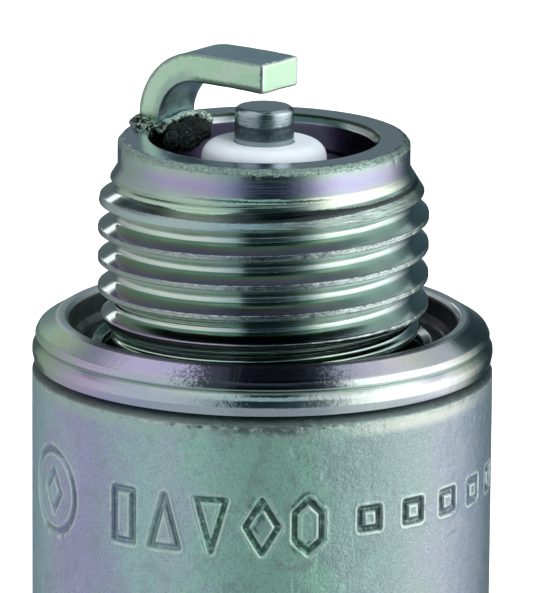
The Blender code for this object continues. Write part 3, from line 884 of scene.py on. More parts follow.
def strap_alloy():
    """Nickel alloy strip: sheared sides, rolled faces, worn edges."""
    sh = Shader("strap_alloy")
    p = sh.mm()
    x, y, z = sh.xyz()
    c, s = math.cos(STRAP_AZ), math.sin(STRAP_AZ)
    along = sh.add(sh.mul(x, c), sh.mul(y, s))
    across = sh.add(sh.mul(x, -s), sh.mul(y, c))
    up = sh.add(z, -REACH)
    blotch = sh.noise(p, 1.2, 4, 0.6, 0.4)
    fine = sh.noise(p, 9.0, 4, 0.6)
    geo = sh.new("ShaderNodeNewGeometry")
    side = sh.new("ShaderNodeVectorMath", operation="DOT_PRODUCT")
    sh.put(side.inputs[0], geo.outputs["Normal"])
    side.inputs[1].default_value = (-s, c, 0.0)
    sideways = sh.remap(sh.math("ABSOLUTE", side.outputs["Value"]), 0.80, 0.97)
    tip = sh.remap(along, 0.60, 0.69)
    face = sh.ramp(blotch, [(0.3, (0.60, 0.96, 0.66)), (0.5, (0.70, 1.00, 0.76)), (0.7, (0.82, 0.98, 0.88))])
    edge = sh.ramp(blotch, [(0.3, (0.48, 0.68, 0.78)), (0.6, (0.64, 0.84, 0.94)), (0.8, (0.68, 0.88, 0.90))])
    film = sh.mix(sideways, edge, face)
    film = sh.mix(tip, film, sh.mix(fine, (0.56, 0.88, 0.58), (0.72, 0.92, 0.74)))
    inner = sh.mul(sh.remap(sh.add(along, sh.mul(up, -0.2)), -4.9, -4.2), sh.remap(up, 1.9, 1.2))
    film = sh.mix(sh.mul(inner, 0.8), film, sh.mix(sh.remap(blotch, 0.35, 0.60), (0.27, 0.28, 0.25), (0.50, 0.52, 0.46)))
    # Sheared edges: dark burrs along the sides' borders, pale ones round the tip.
    from_axis = sh.math("SQRT", sh.add(sh.math("POWER", sh.add(along, 2.65), 2.0), sh.math("POWER", sh.add(up, -0.30), 2.0)))
    depth = sh.mix(sh.remap(along, -2.70, -2.60), sh.vec(from_axis, 0.0, 0.0), sh.vec(sh.add(up, -0.30), 0.0, 0.0))
    depth = sh.xyz(depth)[0]
    ragged = sh.mul(sh.add(sh.noise(p, 6.0, 4, 0.65), -0.5), 0.22)
    upper_edge = sh.mul(sh.remap(sh.add(depth, ragged), 2.86, 2.97), sh.remap(across, -0.90, -1.10))
    lower_edge = sh.mul(sh.remap(sh.add(depth, ragged), 2.12, 1.96), sh.remap(across, -0.90, -1.10), sh.remap(along, -3.4, -2.4))
    film = sh.mix(sh.mul(upper_edge, 0.70), film, (0.24, 0.34, 0.32))
    # A bluer, rubbed band along the inside of the bend and down the leg.
    rubbed = sh.mul(sh.remap(sh.add(depth, sh.mul(ragged, 2.0)), 2.45, 2.15), sh.remap(along, -2.4, -3.6))
    film = sh.mix(sh.mul(rubbed, 0.55), film, (0.40, 0.52, 0.54))
    film = sh.mix(sh.mul(lower_edge, 0.85), film, (0.10, 0.14, 0.13))
    border = sh.math("MAXIMUM", sh.remap(sh.add(sh.math("ABSOLUTE", sh.add(across, -STRAP_MID)), ragged), 1.06, 1.16), sh.remap(sh.add(sh.math("ABSOLUTE", sh.add(up, -2.68)), ragged), 0.46, 0.56))
    film = sh.mix(sh.mul(tip, border, 0.75), film, (0.92, 0.97, 0.93))
    scratch = sh.noise(sh.vec(sh.mul(along, 1.5), sh.mul(across, 16.0), sh.mul(up, 16.0)), 1.0, 4, 0.65)
    spots = sh.remap(sh.noise(p, 14.0, 3, 0.5), 0.66, 0.74)
    film = sh.mix(sh.mul(spots, 0.5), film, (0.18, 0.22, 0.20))
    rough = sh.add(0.24, sh.mul(fine, 0.12), sh.mul(sideways, 0.10))
    return sh.set(
        colour=film,
        metallic=1.0,
        roughness=rough,
        normal=sh.bump(sh.add(sh.mul(scratch, 0.6), sh.mul(fine, 0.4)), 0.014),
    )


def weld_metal(name, bright):
    """Squeezed-out weld: black oxide with bright crystals. Its near-black is partly painted shade, on the bead inside
    the bore.
    """
    sh = Shader(name)
    p = sh.mm()
    cell = sh.new("ShaderNodeTexVoronoi", feature="F1")
    sh.put(cell.inputs["Vector"], p)
    cell.inputs["Scale"].default_value = 5.5
    pick = sh.xyz(cell.outputs["Color"])[0]
    grain = sh.noise(p, 8.0, 5, 0.65, 0.3)
    dark = sh.ramp(grain, [(0.3, (0.008, 0.011, 0.011)), (0.5, (0.025, 0.035, 0.032)), (0.7, (0.09, 0.12, 0.11))])
    light = sh.ramp(grain, [(0.3, (0.45, 0.62, 0.50)), (0.55, (0.72, 0.90, 0.76)), (0.7, (0.92, 0.96, 0.94))])
    flecks = sh.noise(p, 5.0, 6, 0.72, 0.8)
    share = sh.remap(sh.add(sh.mul(pick, 0.12), flecks), 0.74 - 0.42 * bright, 0.79 - 0.42 * bright)
    colour = sh.mix(share, dark, light)
    rough = sh.lerp(share, 0.50, 0.22)
    metal = sh.lerp(share, 0.7, 1.0)
    return sh.set(
        colour=colour,
        metallic=metal,
        roughness=rough,
        normal=sh.bump(sh.add(grain, sh.mul(cell.outputs["Distance"], 0.8)), 0.06),
    )


def electrode_nickel():
    sh = Shader("nickel_electrode")
    phi, r, z = sh.turned()
    p = sh.mm()
    fine = sh.noise(p, 7.0, 5, 0.6)
    lines = sh.noise(sh.vec(sh.mul(phi, 0.9), sh.mul(r, 10.0), sh.mul(z, 16.0)), 1.0, 4, 0.65)
    # The polished zone ends lower at the front, along a wavy line.
    upper = sh.remap(sh.add(z, sh.mul(fine, 0.10), sh.mul(sh.math("COSINE", phi), 0.12)), 10.26, 10.32)
    base = sh.ramp(fine, [(0.3, (0.09, 0.13, 0.15)), (0.6, (0.14, 0.19, 0.21)), (0.8, (0.24, 0.30, 0.32))])
    burnished = sh.ramp(lines, [(0.3, (0.50, 0.60, 0.63)), (0.6, (0.64, 0.74, 0.77)), (0.8, (0.74, 0.83, 0.85))])
    foot = sh.remap(sh.add(z, sh.mul(fine, 0.05)), 9.59, 9.54)
    film = sh.mix(upper, base, burnished)
    film = sh.mix(sh.mul(foot, 0.6), film, (0.50, 0.60, 0.60))
    rough = sh.add(sh.lerp(upper, 0.34, 0.12), sh.mul(fine, 0.12))
    return sh.set(
        colour=film,
        metallic=1.0,
        roughness=rough,
        normal=sh.bump(sh.add(sh.mul(lines, 0.6), sh.mul(fine, 0.6)), 0.012),
    )


def alumina():
    """White alumina: bare and matt at the nose, glazed behind."""
    sh = Shader("alumina_white")
    phi, r, z = sh.turned()
    p = sh.mm()
    speck = sh.remap(sh.noise(p, 11.0, 3, 0.5), 0.70, 0.76)
    cloud = sh.noise(p, 0.8, 4, 0.55)
    colour = sh.ramp(cloud, [(0.3, (0.70, 0.77, 0.84)), (0.7, (0.80, 0.85, 0.90))])
    colour = sh.mix(sh.mul(speck, 0.3), colour, (0.55, 0.55, 0.56))
    glazed = sh.remap(z, -15.0, -21.0)
    rough = sh.lerp(glazed, sh.add(0.42, sh.mul(cloud, 0.12)), sh.add(0.06, sh.mul(cloud, 0.06)))
    grain = sh.noise(p, 16.0, 4, 0.6)
    return sh.set(
        colour=colour,
        metallic=0.0,
        roughness=rough,
        specular=0.5,
        normal=sh.bump(sh.lerp(glazed, grain, sh.mul(cloud, 0.4)), 0.008),
    )


def plain_metal(name, low, high, rough, line_scale=9.0, relief=0.010, plug_axis=True):
    """Turned steel or copper: lines round the axis over a mottled colour."""
    sh = Shader(name)
    phi, r, z = sh.turned()
    p = sh.mm()
    mottle = sh.noise(p, 1.6, 5, 0.6, 0.3)
    fine = sh.noise(p, 9.0, 4, 0.6)
    colour = sh.ramp(mottle, [(0.3, low), (0.7, high)])
    lines = sh.noise(
        sh.vec(sh.mul(phi, 0.8), sh.mul(r, line_scale), sh.mul(z, line_scale)), 1.0, 5, 0.7
    )
    colour = sh.mix(sh.mul(sh.remap(lines, 0.55, 0.75), 0.35), colour, tuple(0.6 * c for c in low))
    return sh.set(
        colour=colour,
        metallic=1.0,
        roughness=sh.add(rough - 0.05, sh.mul(fine, 0.12)),
        normal=sh.bump(sh.add(lines, sh.mul(fine, 0.4)), relief),
    )


def glass_seal(name, low, high, metallic):
    """Glass filled with metal or carbon grains."""
    sh = Shader(name)
    p = sh.mm()
    grain = sh.voronoi(p, 6.0)
    cloud = sh.noise(p, 2.0, 5, 0.6)
    colour = sh.mix(sh.remap(grain, 0.1, 0.6), high, low)
    colour = sh.mix(sh.mul(cloud, 0.5), colour, low)
    return sh.set(
        colour=colour,
        metallic=sh.mul(sh.remap(grain, 0.35, 0.05), metallic),
        roughness=sh.add(0.35, sh.mul(cloud, 0.3)),
        normal=sh.bump(sh.add(grain, cloud), 0.02),
    )


def talc_powder():
    sh = Shader("talc_powder")
    p = sh.mm()
    cloud = sh.noise(p, 2.2, 6, 0.65)
    pits = sh.voronoi(p, 8.0)
    colour = sh.ramp(cloud, [(0.3, (0.70, 0.70, 0.64)), (0.7, (0.86, 0.86, 0.82))])
    return sh.set(
        colour=colour,
        roughness=sh.add(0.8, sh.mul(cloud, 0.15)),
        normal=sh.bump(sh.add(cloud, pits), 0.03),
    )


M = {
    "barrel": zinc_barrel(),
    "thread": zinc_thread(),
    "hexagon": zinc_hexagon(),
    "gasket": gasket_zinc(),
    "strap": strap_alloy(),
    "weld_dark": weld_metal("weld_oxide_and_shade", 0.05),
    "weld_mixed": weld_metal("weld_scale", 0.42),
    "weld_burr": weld_metal("weld_fresh", 0.95),
    "electrode": electrode_nickel(),
    "alumina": alumina(),
    "stud": plain_metal("stud_plated", (0.52, 0.55, 0.57), (0.68, 0.70, 0.72), 0.26),
    "nut": plain_metal("nut_plated", (0.60, 0.63, 0.65), (0.78, 0.80, 0.82), 0.20, 11.0, 0.006),
    "copper": plain_metal("copper_drawn", (0.62, 0.30, 0.18), (0.86, 0.50, 0.34), 0.32),
    "packing": plain_metal("packing_soft_steel", (0.40, 0.40, 0.42), (0.58, 0.58, 0.60), 0.38),
    "ring": plain_metal("ring_wire_steel", (0.42, 0.43, 0.44), (0.62, 0.62, 0.63), 0.32),
    "copper_glass": glass_seal("seal_copper_glass", (0.16, 0.09, 0.06), (0.55, 0.34, 0.24), 0.8),
    "stud_glass": glass_seal("seal_stud_glass", (0.14, 0.10, 0.08), (0.48, 0.36, 0.29), 0.8),
    "carbon_glass": glass_seal("resistor_glass", (0.03, 0.03, 0.035), (0.22, 0.22, 0.23), 0.1),
    "talc": talc_powder(),
}

# =============================================================================
# Metal shell: collar and thread
# =============================================================================

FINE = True
R_CREST, R_ROOT, R_COLLAR, R_NECK = 6.88, 6.19, 6.07, 6.15
Z_TOP, Z_BOT = 8.30, 0.80


def thread_envelope(z):
    zs = [0.80, 1.27, 1.85, 2.40, 6.55, 7.15, 8.30]
    rs = [6.15, 6.42, 6.64, 6.88, 6.88, 6.78, 6.07]
    return np.interp(z, zs, rs)


def wear(r, z, th, depth, scale, seed):
    p = np.stack([r * np.cos(th), r * np.sin(th), z], axis=1)
    return depth * fbm(p, scale, 4, seed)


def shell_radius(z, th, d):
    """The threaded part: a rounded root and worn crests, inside the taper."""
    a = np.abs(d)
    flank = R_CREST - (a - 0.095) * (0.73 / 0.42)
    r = smin(flank, np.full_like(a, R_CREST), 0.035)
    r = smax(r, np.full_like(a, R_ROOT), 0.11)
    env = thread_envelope(z)
    crest = smooth(0.17, 0.05, a)
    # Rolled crests are uneven: nicks, burrs and a faint seam.
    p = np.stack([R_CREST * np.cos(th), R_CREST * np.sin(th), z], axis=1)
    nick = fbm(p, 2.6, 4, 5)
    burr = fbm(np.stack([p[:, 0] * 4.5, p[:, 1] * 4.5, p[:, 2] * 7.0], axis=1), 1.0, 3, 9)
    seam = np.exp(-((d - 0.01) ** 2) / (2 * 0.018**2)) * (0.5 + 0.5 * vnoise(p, 0.9, 31))
    r = r - crest * (0.028 * smooth(0.05, 0.5, nick) + 0.012 * np.abs(burr) + 0.016 * seam)
    r = smin(r, env, 0.03)
    top = smooth(Z_TOP - 0.02, Z_TOP - 0.4, z) * smooth(Z_BOT + 0.02, Z_BOT + 0.3, z)
    r = np.where(z >= Z_TOP - 1e-9, R_COLLAR, np.where(z <= Z_BOT + 1e-9, R_NECK, r))
    return r + top * 0.004 * fbm(p, 1.8, 3, 12)


COLS = 360 if FINE else 200
half = [0.0, 0.04, 0.075, 0.10, 0.125, 0.16, 0.21, 0.27, 0.33, 0.39, 0.44, 0.48, 0.52, 0.56, 0.60]
offsets = sorted([-h for h in half[1:]] + half)
thread_v, thread_f = helical_grid(offsets, PITCH, CREST_0, Z_BOT, Z_TOP, COLS, shell_radius)

rest_profile = [
    (R_NECK, Z_BOT),
    (R_NECK, -0.35),
    (4.15, -0.35),
    (4.15, -0.20),
    (4.62, 0.40),
    (4.62, 9.13, 0.05),
    (4.765, 9.43, 0.03),
    (4.80, REACH, 0.03),
    (5.91, REACH, 0.05),
    (R_COLLAR, 9.31, 0.07),
    (R_COLLAR, Z_TOP),
]
rest_profile = spaced(fillet(rest_profile), 0.16)
rest_v = turn(rest_profile, COLS)
n_dir, n_r = radial(rest_v)
rest_z = rest_v[:, 2]
rest_th = np.arctan2(rest_v[:, 1], rest_v[:, 0])
on_collar = (n_r > 5.9) & (rest_z > Z_TOP + 0.02)
# The collar's upper edge is burred and its face slightly uneven.
edge = smooth(8.95, 9.35, rest_z) * on_collar
p_edge = np.stack([6.1 * np.cos(rest_th) * 3.2, 6.1 * np.sin(rest_th) * 3.2, rest_z * 2.2], axis=1)
ragged = fbm(p_edge, 1.0, 4, 41)
move = -0.045 * edge * smooth(0.0, 0.55, ragged) - 0.006 * on_collar * (1 + fbm(rest_v, 1.4, 3, 8)) * smooth(Z_TOP, Z_TOP + 0.2, rest_z)
rest_v = rest_v + n_dir * move[:, None]
face = (rest_z > 9.44) & (n_r > 4.66)
rest_v[:, 2] -= np.where(face, 0.010 * (0.5 + 0.5 * fbm(rest_v, 1.7, 4, 19)), 0.0)
offset = len(thread_v)
faces = thread_f + grid_faces(len(rest_profile), COLS, offset=offset)
shell_thread = make_piece("shell_thread", np.vstack([thread_v, rest_v]), faces, M["thread"])
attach(shell_thread, "plug")
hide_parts("metal_shell")

# =============================================================================
# Metal shell: barrel, with stamped marks
# =============================================================================

BARREL_R, BARREL_END = 9.62, -10.20


def ring(cx, cz, w, h, n=28):
    return [(cx + w * math.cos(TAU * i / n), cz + h * math.sin(TAU * i / n)) for i in range(n + 1)]


def closed_path(cx, cz, points):
    return [(cx + x, cz + z) for x, z in points + points[:1]]


def arc_mm(degrees):
    return BARREL_R * math.radians(degrees)


# Plain shapes pressed in a row round the barrel, with a ringed diamond before them.
ROW_Z = -4.56
strokes = [
    ring(arc_mm(-63.2), ROW_Z + 0.05, 1.72, 1.72, 48),
    closed_path(arc_mm(-63.2), ROW_Z + 0.05, [(-0.62, 0.0), (0.0, -0.86), (0.62, 0.0), (0.0, 0.86)]),
    closed_path(arc_mm(-35.8), ROW_Z, [(-0.46, -1.08), (0.46, -1.08), (0.46, 1.08), (-0.46, 1.08)]),
    closed_path(arc_mm(-24.3), ROW_Z, [(-0.62, -1.08), (0.62, -1.08), (0.0, 1.10)]),
    closed_path(arc_mm(-12.4), ROW_Z, [(-0.62, 1.08), (0.62, 1.08), (0.0, -1.10)]),
    closed_path(arc_mm(0.2), ROW_Z, [(-0.68, 0.0), (0.0, -1.12), (0.68, 0.0), (0.0, 1.12)]),
    closed_path(
        arc_mm(11.6), ROW_Z, [(-0.56, -0.56), (0.0, -1.10), (0.56, -0.56), (0.56, 0.56), (0.0, 1.10), (-0.56, 0.56)]
    ),
]
strokes += [
    closed_path(arc_mm(at), ROW_Z + 0.12, [(-0.42, -0.42), (0.42, -0.42), (0.42, 0.42), (-0.42, 0.42)])
    for at in (27.5, 40.4, 52.9, 65.3, 78.0)
]


def stamp(s, z):
    """Relief of the marks at arc length s and height z: grooves with raised rims."""
    best = np.full(len(s), 9.0)
    q = np.stack([s, z], axis=1)
    for path in strokes:
        pts = np.array(path)
        lo, hi = pts.min(0) - 0.5, pts.max(0) + 0.5
        near = np.where(((q > lo) & (q < hi)).all(axis=1))[0]
        for a, b in zip(pts[:-1], pts[1:]):
            ab = b - a
            t = np.clip(((q[near] - a) @ ab) / (ab @ ab), 0, 1)
            d = np.linalg.norm(q[near] - (a + t[:, None] * ab), axis=1)
            best[near] = np.minimum(best[near], d)
    groove = -0.150 * smooth(0.175, 0.045, best)
    rim = 0.022 * np.exp(-((best - 0.215) ** 2) / (2 * 0.045**2))
    return groove + rim, best


fine_step = (0.060 if FINE else 0.12) / BARREL_R
lo, hi = math.radians(-78.0), math.radians(86.0)
fine_th = np.arange(lo, hi, fine_step)
coarse_th = np.linspace(hi, lo + TAU, 150 if FINE else 90, endpoint=False)
barrel_th = np.concatenate([fine_th, coarse_th]) - math.pi / 2

barrel_profile = fillet(
    [
        (5.60, 0.0),
        (9.30, 0.0, 0.04),
        (9.595, -0.33, 0.14),
        (9.595, BARREL_END + 0.02, 0.08),
        (9.40, BARREL_END - 0.25, 0.06),
        (8.62, BARREL_END - 0.32),
        (7.05, BARREL_END - 0.32),
        (7.05, -6.0),
        (5.45, -5.0),
        (5.45, -2.30),
        (4.15, -1.40),
        (4.15, -0.40),
        (5.60, -0.40),
        (5.60, 0.0),
    ],
    arc_step=15.0,
)
dense = []
for a, b in zip(barrel_profile[:-1], barrel_profile[1:]):
    dense.append(a)
    if abs(a[0] - b[0]) < 1e-6 and abs(a[0] - 9.595) < 1e-6:
        zs = np.concatenate(
            [
                np.arange(a[1] - 0.12, -2.62, -0.12),
                np.arange(-2.62, -6.08, -(0.060 if FINE else 0.12)),
                np.arange(-6.16, b[1] + 0.10, -0.22),
            ]
        )
        dense += [(9.595, float(z)) for z in zs]
    elif a[1] == 0.0 and b[1] == 0.0:
        dense += [(float(r), 0.0) for r in np.linspace(a[0], b[0], 16)[1:-1]]
barrel_profile = dense
barrel_v = polar_grid(barrel_profile, barrel_th)
b_dir, b_r = radial(barrel_v)
b_phi = np.arctan2(barrel_v[:, 0], -barrel_v[:, 1])
outside = (b_r > 9.2) & (barrel_v[:, 2] < -0.001)
side = b_r > 9.594
relief = np.zeros(len(barrel_v))
marks, mark_d = stamp(b_phi[side] * BARREL_R, barrel_v[side, 2])
relief[side] = marks
# Dings, shallow waves and a nicked upper edge.
relief -= outside * 0.012 * (0.5 + 0.5 * fbm(barrel_v, 0.45, 3, 3))
dents = fbm(barrel_v, 1.5, 4, 23)
relief -= outside * 0.022 * smooth(0.30, 0.62, dents)
lip = np.exp(-((barrel_v[:, 2] + 0.30) ** 2) / (2 * 0.14**2)) * outside
p_lip = np.stack([barrel_v[:, 0] * 1.6, barrel_v[:, 1] * 1.6, barrel_v[:, 2] * 5.0], axis=1)
relief -= lip * 0.035 * smooth(0.02, 0.5, fbm(p_lip, 1.0, 4, 77))
barrel_v = barrel_v + b_dir * relief[:, None]
shell_barrel = make_piece("shell_barrel", barrel_v, grid_faces(len(barrel_profile), len(barrel_th)), M["barrel"])
# How far each point lies inside a pressed mark, for the material.
b_co = np.empty(len(shell_barrel.data.vertices) * 3, np.float32)
shell_barrel.data.vertices.foreach_get("co", b_co)
b_co = b_co.reshape(-1, 3).astype(float) / MM
near_marks = (np.hypot(b_co[:, 0], b_co[:, 1]) > 9.3) & (b_co[:, 2] < -1.5)
inside = np.zeros(len(b_co))
_, mark_d = stamp(np.arctan2(b_co[near_marks, 0], -b_co[near_marks, 1]) * BARREL_R, b_co[near_marks, 2])
# Round the marks near the front the value spreads outwards, for painted shade there.
front_mark_phi = np.degrees(np.arctan2(b_co[near_marks, 0], -b_co[near_marks, 1]))
front_mark_shade = smooth(0.55, 0.15, mark_d) * smooth(0.05, 0.35, fbm(b_co[near_marks], 1.5, 4, 88))
front_mark_shade = front_mark_shade * smooth(-19.0, -8.0, front_mark_phi) * smooth(24.0, 15.0, front_mark_phi)
inside[near_marks] = np.maximum(smooth(0.17, 0.05, mark_d), front_mark_shade) - np.exp(-((mark_d - 0.215) ** 2) / (2 * 0.035**2))
pressed = shell_barrel.data.attributes.new("pressed", "FLOAT", "POINT")
pressed.data.foreach_set("value", inside.astype(np.float32))
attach(shell_barrel, "plug")
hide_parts("metal_shell")

# =============================================================================
# Metal shell: hexagon, relief groove and the crimped rear edge
# =============================================================================

hex_profile = spaced(
    fillet(
        [
            (7.05, -10.30),
            (8.62, -10.30),
            (8.62, -11.20, 0.10),
            (9.35, -11.35, 0.04),
            (10.965, -12.25, 0.05),
            (10.965, -16.45, 0.05),
            (9.35, -17.35, 0.04),
            (8.35, -17.47, 0.08),
            (8.20, -17.75, 0.10),
            (8.20, -18.60, 0.30),
            (7.85, -19.35, 0.35),
            (7.10, -19.85, 0.30),
            (6.20, -20.0, 0.12),
            (5.66, -19.75, 0.08),
            (5.75, -19.45, 0.10),
            (7.05, -19.0),
            (7.05, -10.30),
        ]
    )[:-1],
    0.16,
    closed=True,
)
HCOLS = 360 if FINE else 180


def cut_hexagon(v, rows, cols):
    n, r = radial(v)
    th = np.arctan2(v[:, 1], v[:, 0])
    z = v[:, 2]
    in_hex = (z < -11.22) & (z > -17.46) & (r > 8.3)
    sector = (th + TAU) % (TAU / 6) - TAU / 12
    flat = 9.485 / np.cos(sector)
    cut = smin(r, flat, 0.05)
    new = np.where(in_hex, np.minimum(r, cut), r)
    on_flat = in_hex & (flat < r)
    new = new - np.where(on_flat, 0.012 * (0.5 + 0.5 * fbm(v, 0.7, 4, 4)), 0.0)
    new = new - np.where(~in_hex & (r > 7.2), 0.010 * (0.5 + 0.5 * fbm(v, 1.2, 3, 6)), 0.0)
    out = v.copy()
    out[:, :2] = n[:, :2] * new[:, None]
    return out


shell_hexagon = lathe("shell_hexagon", hex_profile, HCOLS, M["hexagon"], closed=True, shape=cut_hexagon, sharp=38)
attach(shell_hexagon, "plug")
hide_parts("metal_shell")

# =============================================================================
# Gasket
# =============================================================================

gasket_profile = spaced(
    fillet(
        [
            (8.22, 1.935, 0.14),
            (8.52, 1.945, 0.16),
            (9.36, 1.435, 0.20),
            (9.50, 1.16, 0.12),
            (9.35, 1.02, 0.03),
            (9.44, 0.91, 0.10),
            (9.595, 0.70, 0.20),
            (9.602, 0.44, 0.26),
            (9.52, 0.050, 0.09),
            (9.20, 0.030, 0.10),
            (7.22, 0.045, 0.20),
            (6.82, 0.13, 0.15),
            (6.64, 0.35, 0.15),
            (6.71, 0.70, 0.12),
            (7.02, 0.92, 0.16),
            (7.66, 0.67, 0.20),
            (7.92, 1.05, 0.25),
            (8.06, 1.70, 0.12),
        ],
        closed=True,
        arc_step=12.0,
    ),
    0.11,
    closed=True,
)


def press_gasket(v, rows, cols):
    n, r = radial(v)
    z = v[:, 2]
    phi = np.arctan2(v[:, 0], -v[:, 1])
    wave = np.sin(phi * 3 + 0.7) * 0.006 + np.sin(phi * 7 + 2.0) * 0.003
    # Fine creases where the sheet was folded round.
    crease = vnoise(np.stack([phi * 26, r * 0.5, z * 0.4], axis=1), 1.0, 61)
    shift = -0.007 - 0.005 * np.abs(crease) + np.minimum(wave, 0)
    out = v + n * shift[:, None] * smooth(7.4, 8.3, r)[:, None]
    return out


gasket = lathe("gasket_ring", gasket_profile, 384 if FINE else 200, M["gasket"], closed=True, shape=press_gasket)
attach(gasket, "gasket")
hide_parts("gasket")

# =============================================================================
# Insulator
# =============================================================================

ins = [(1.258, 9.35, 0.03), (2.57, 9.35, 0.80), (2.63, 8.0, 0.8), (3.67, 0.6, 0.5), (3.98, -1.93, 0.2)]
ins += [(5.28, -2.83, 0.2), (5.28, -5.13, 0.2), (6.88, -6.13, 0.3), (6.88, -14.48, 0.3), (5.48, -15.48, 0.2)]
ins += [(5.30, -15.80, 0.2), (5.30, -20.70), (5.08, -26.0, 0.5)]
for rib in range(4):
    top = -26.60 - rib * 2.05
    ins += [(5.02, top - 0.10, 0.30), (4.98, top - 0.62, 0.30), (4.42, top - 1.10, 0.22), (4.42, top - 1.60, 0.22)]
ins += [(4.62, -34.75, 0.30), (4.56, -35.60, 0.5), (4.18, -36.34, 0.3), (3.70, -36.58, 0.15)]
ins += [(2.02, -36.58, 0.12), (2.02, -7.55, 0.1), (1.37, -6.75, 0.1)]
ins_profile = spaced(fillet(ins, closed=True, arc_step=9.0), 0.30, closed=True)


def soften(v, rows, cols):
    n, r = radial(v)
    wobble = 0.010 * (fbm(v, 0.6, 3, 2) - 1.0)
    return v + n * (wobble * smooth(2.3, 2.6, r) * (v[:, 2] < 9.0))[:, None]


insulator = lathe("insulator_body", ins_profile, 192 if FINE else 96, M["alumina"], closed=True, shape=soften)
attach(insulator, "plug")
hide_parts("insulator")

# =============================================================================
# Centre electrode
# =============================================================================


def capped_turn(name, profile, cols, mat, shape=None, sharp=None):
    """A turned solid whose profile starts and ends on the axis."""
    v = turn(profile, cols)
    if shape is not None:
        v = shape(v, len(profile), cols)
    return make_piece(name, v, grid_faces(len(profile), cols), mat, sharp)


el = [
    (0.0, 10.822),
    (1.08, 10.822, 0.07),
    (1.225, 10.69, 0.12),
    (1.232, 10.06),
    (1.222, 10.00),
    (1.236, 9.94),
    (1.240, 9.30),
    (1.258, -6.75, 0.1),
    (1.84, -7.60, 0.1),
    (1.84, -8.28, 0.1),
    (1.40, -8.48),
    (0.83, -8.48),
    (0.83, 6.00, 0.1),
    (0.0, 6.28),
]
el_profile = fillet(el)
dense = []
for a, b in zip(el_profile[:-1], el_profile[1:]):
    step = 0.07 if max(a[1], b[1]) > 8.9 else 0.5
    k = max(1, int(math.ceil(math.hypot(a[0] - b[0], a[1] - b[1]) / step)))
    dense += [(a[0] + (b[0] - a[0]) * i / k, a[1] + (b[1] - a[1]) * i / k) for i in range(k)]
dense.append(el_profile[-1])


def spark_worn(v, rows, cols):
    n, r = radial(v)
    near = smooth(8.9, 9.4, v[:, 2])
    pit = fbm(v, 5.0, 4, 14)
    out = v - n * (near * smooth(0.4, 1.0, r) * 0.008 * (0.5 + 0.5 * pit))[:, None]
    out[:, 2] -= smooth(10.75, 10.82, v[:, 2]) * 0.012 * (0.5 + 0.5 * fbm(v, 3.0, 4, 15))
    return out


electrode = capped_turn("centre_electrode_sheath", dense, 144 if FINE else 72, M["electrode"], spark_worn)
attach(electrode, "plug")
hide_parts("centre_electrode")

# =============================================================================
# Ground electrode: a strap swept along its bend
# =============================================================================

BEND_S, BEND_H = -2.65, 0.30
STRAP_W, STRAP_SHIFT = 2.51, 0.13


def strap_stations():
    """(outer point, inner point) pairs along the strap, in its own plane, from the
    foot to the tip: distance from the axis along its reach, height above the face."""
    rows = []
    for t in np.linspace(0, 1, 5)[:-1]:
        rows.append(((-5.85 + 0.06 * t, -0.10 + 0.40 * t), (-4.70 + 0.07 * t, -0.10 + 0.40 * t)))
    for t in np.linspace(0, 1, 46):
        a = math.radians(180 - 90 * t)
        ro, ri = 3.14 + (3.055 - 3.14) * t, 1.98 + (1.78 - 1.98) * t
        rows.append(
            (
                (BEND_S + ro * math.cos(a), BEND_H + ro * math.sin(a)),
                (BEND_S + ri * math.cos(a), BEND_H + ri * math.sin(a)),
            )
        )
    ends = [(-2.65, 3.355, 2.08), (-0.90, 3.362, 2.09), (0.72, 3.315, 2.045)]
    for (s0, o0, i0), (s1, o1, i1) in zip(ends[:-1], ends[1:]):
        for t in np.linspace(0, 1, 22)[1:]:
            rows.append(((s0 + (s1 - s0) * t, o0 + (o1 - o0) * t), (s0 + (s1 - s0) * t, i0 + (i1 - i0) * t)))
    return rows


def rounded_section(w, h, radius, per_corner=6, per_side=9):
    """Points round a rounded rectangle, w wide and h deep, centred on zero."""
    pts = []
    for cx, cy, a0 in ((w / 2, h / 2, 0), (-w / 2, h / 2, 90), (-w / 2, -h / 2, 180), (w / 2, -h / 2, 270)):
        ox = cx - math.copysign(radius, cx)
        oy = cy - math.copysign(radius, cy)
        for k in range(per_corner + 1):
            a = math.radians(a0 + 90 * k / per_corner)
            pts.append((ox + radius * math.cos(a), oy + radius * math.sin(a)))
    return spaced(pts, max(w, h) / per_side, closed=True)


c_az, s_az = math.cos(STRAP_AZ), math.sin(STRAP_AZ)


def strap_to_world(s, l, h):
    return np.stack([s * c_az - l * s_az, s * s_az + l * c_az, REACH + h], axis=-1)


stations = strap_stations()
section_unit = rounded_section(STRAP_W, 1.19, 0.13, 6, 18)
k_sec = len(section_unit)
rings = []
lengths = [0.0]
mids = [((o[0] + i[0]) / 2, (o[1] + i[1]) / 2) for o, i in stations]
for a, b in zip(mids[:-1], mids[1:]):
    lengths.append(lengths[-1] + math.hypot(b[0] - a[0], b[1] - a[1]))
# The tip's edge is rolled in over the last steps.
tip_rounds = [(0.0, 1.0), (0.05, 0.985), (0.085, 0.955), (0.105, 0.91)]


def ring_at(o, i, shrink, push, direction):
    o, i = np.array(o), np.array(i)
    mid, across = (o + i) / 2, (o - i)
    unit = across / np.linalg.norm(across)
    thick = np.linalg.norm(across) / 1.20
    out = []
    for w, d in section_unit:
        ww = math.copysign(max(0.0, abs(w) - shrink), w)
        dd = math.copysign(max(0.0, abs(d) - shrink), d) * thick
        p = mid + unit * dd + np.array(direction) * push
        out.append((p[0], ww + STRAP_SHIFT, p[1]))
    return out


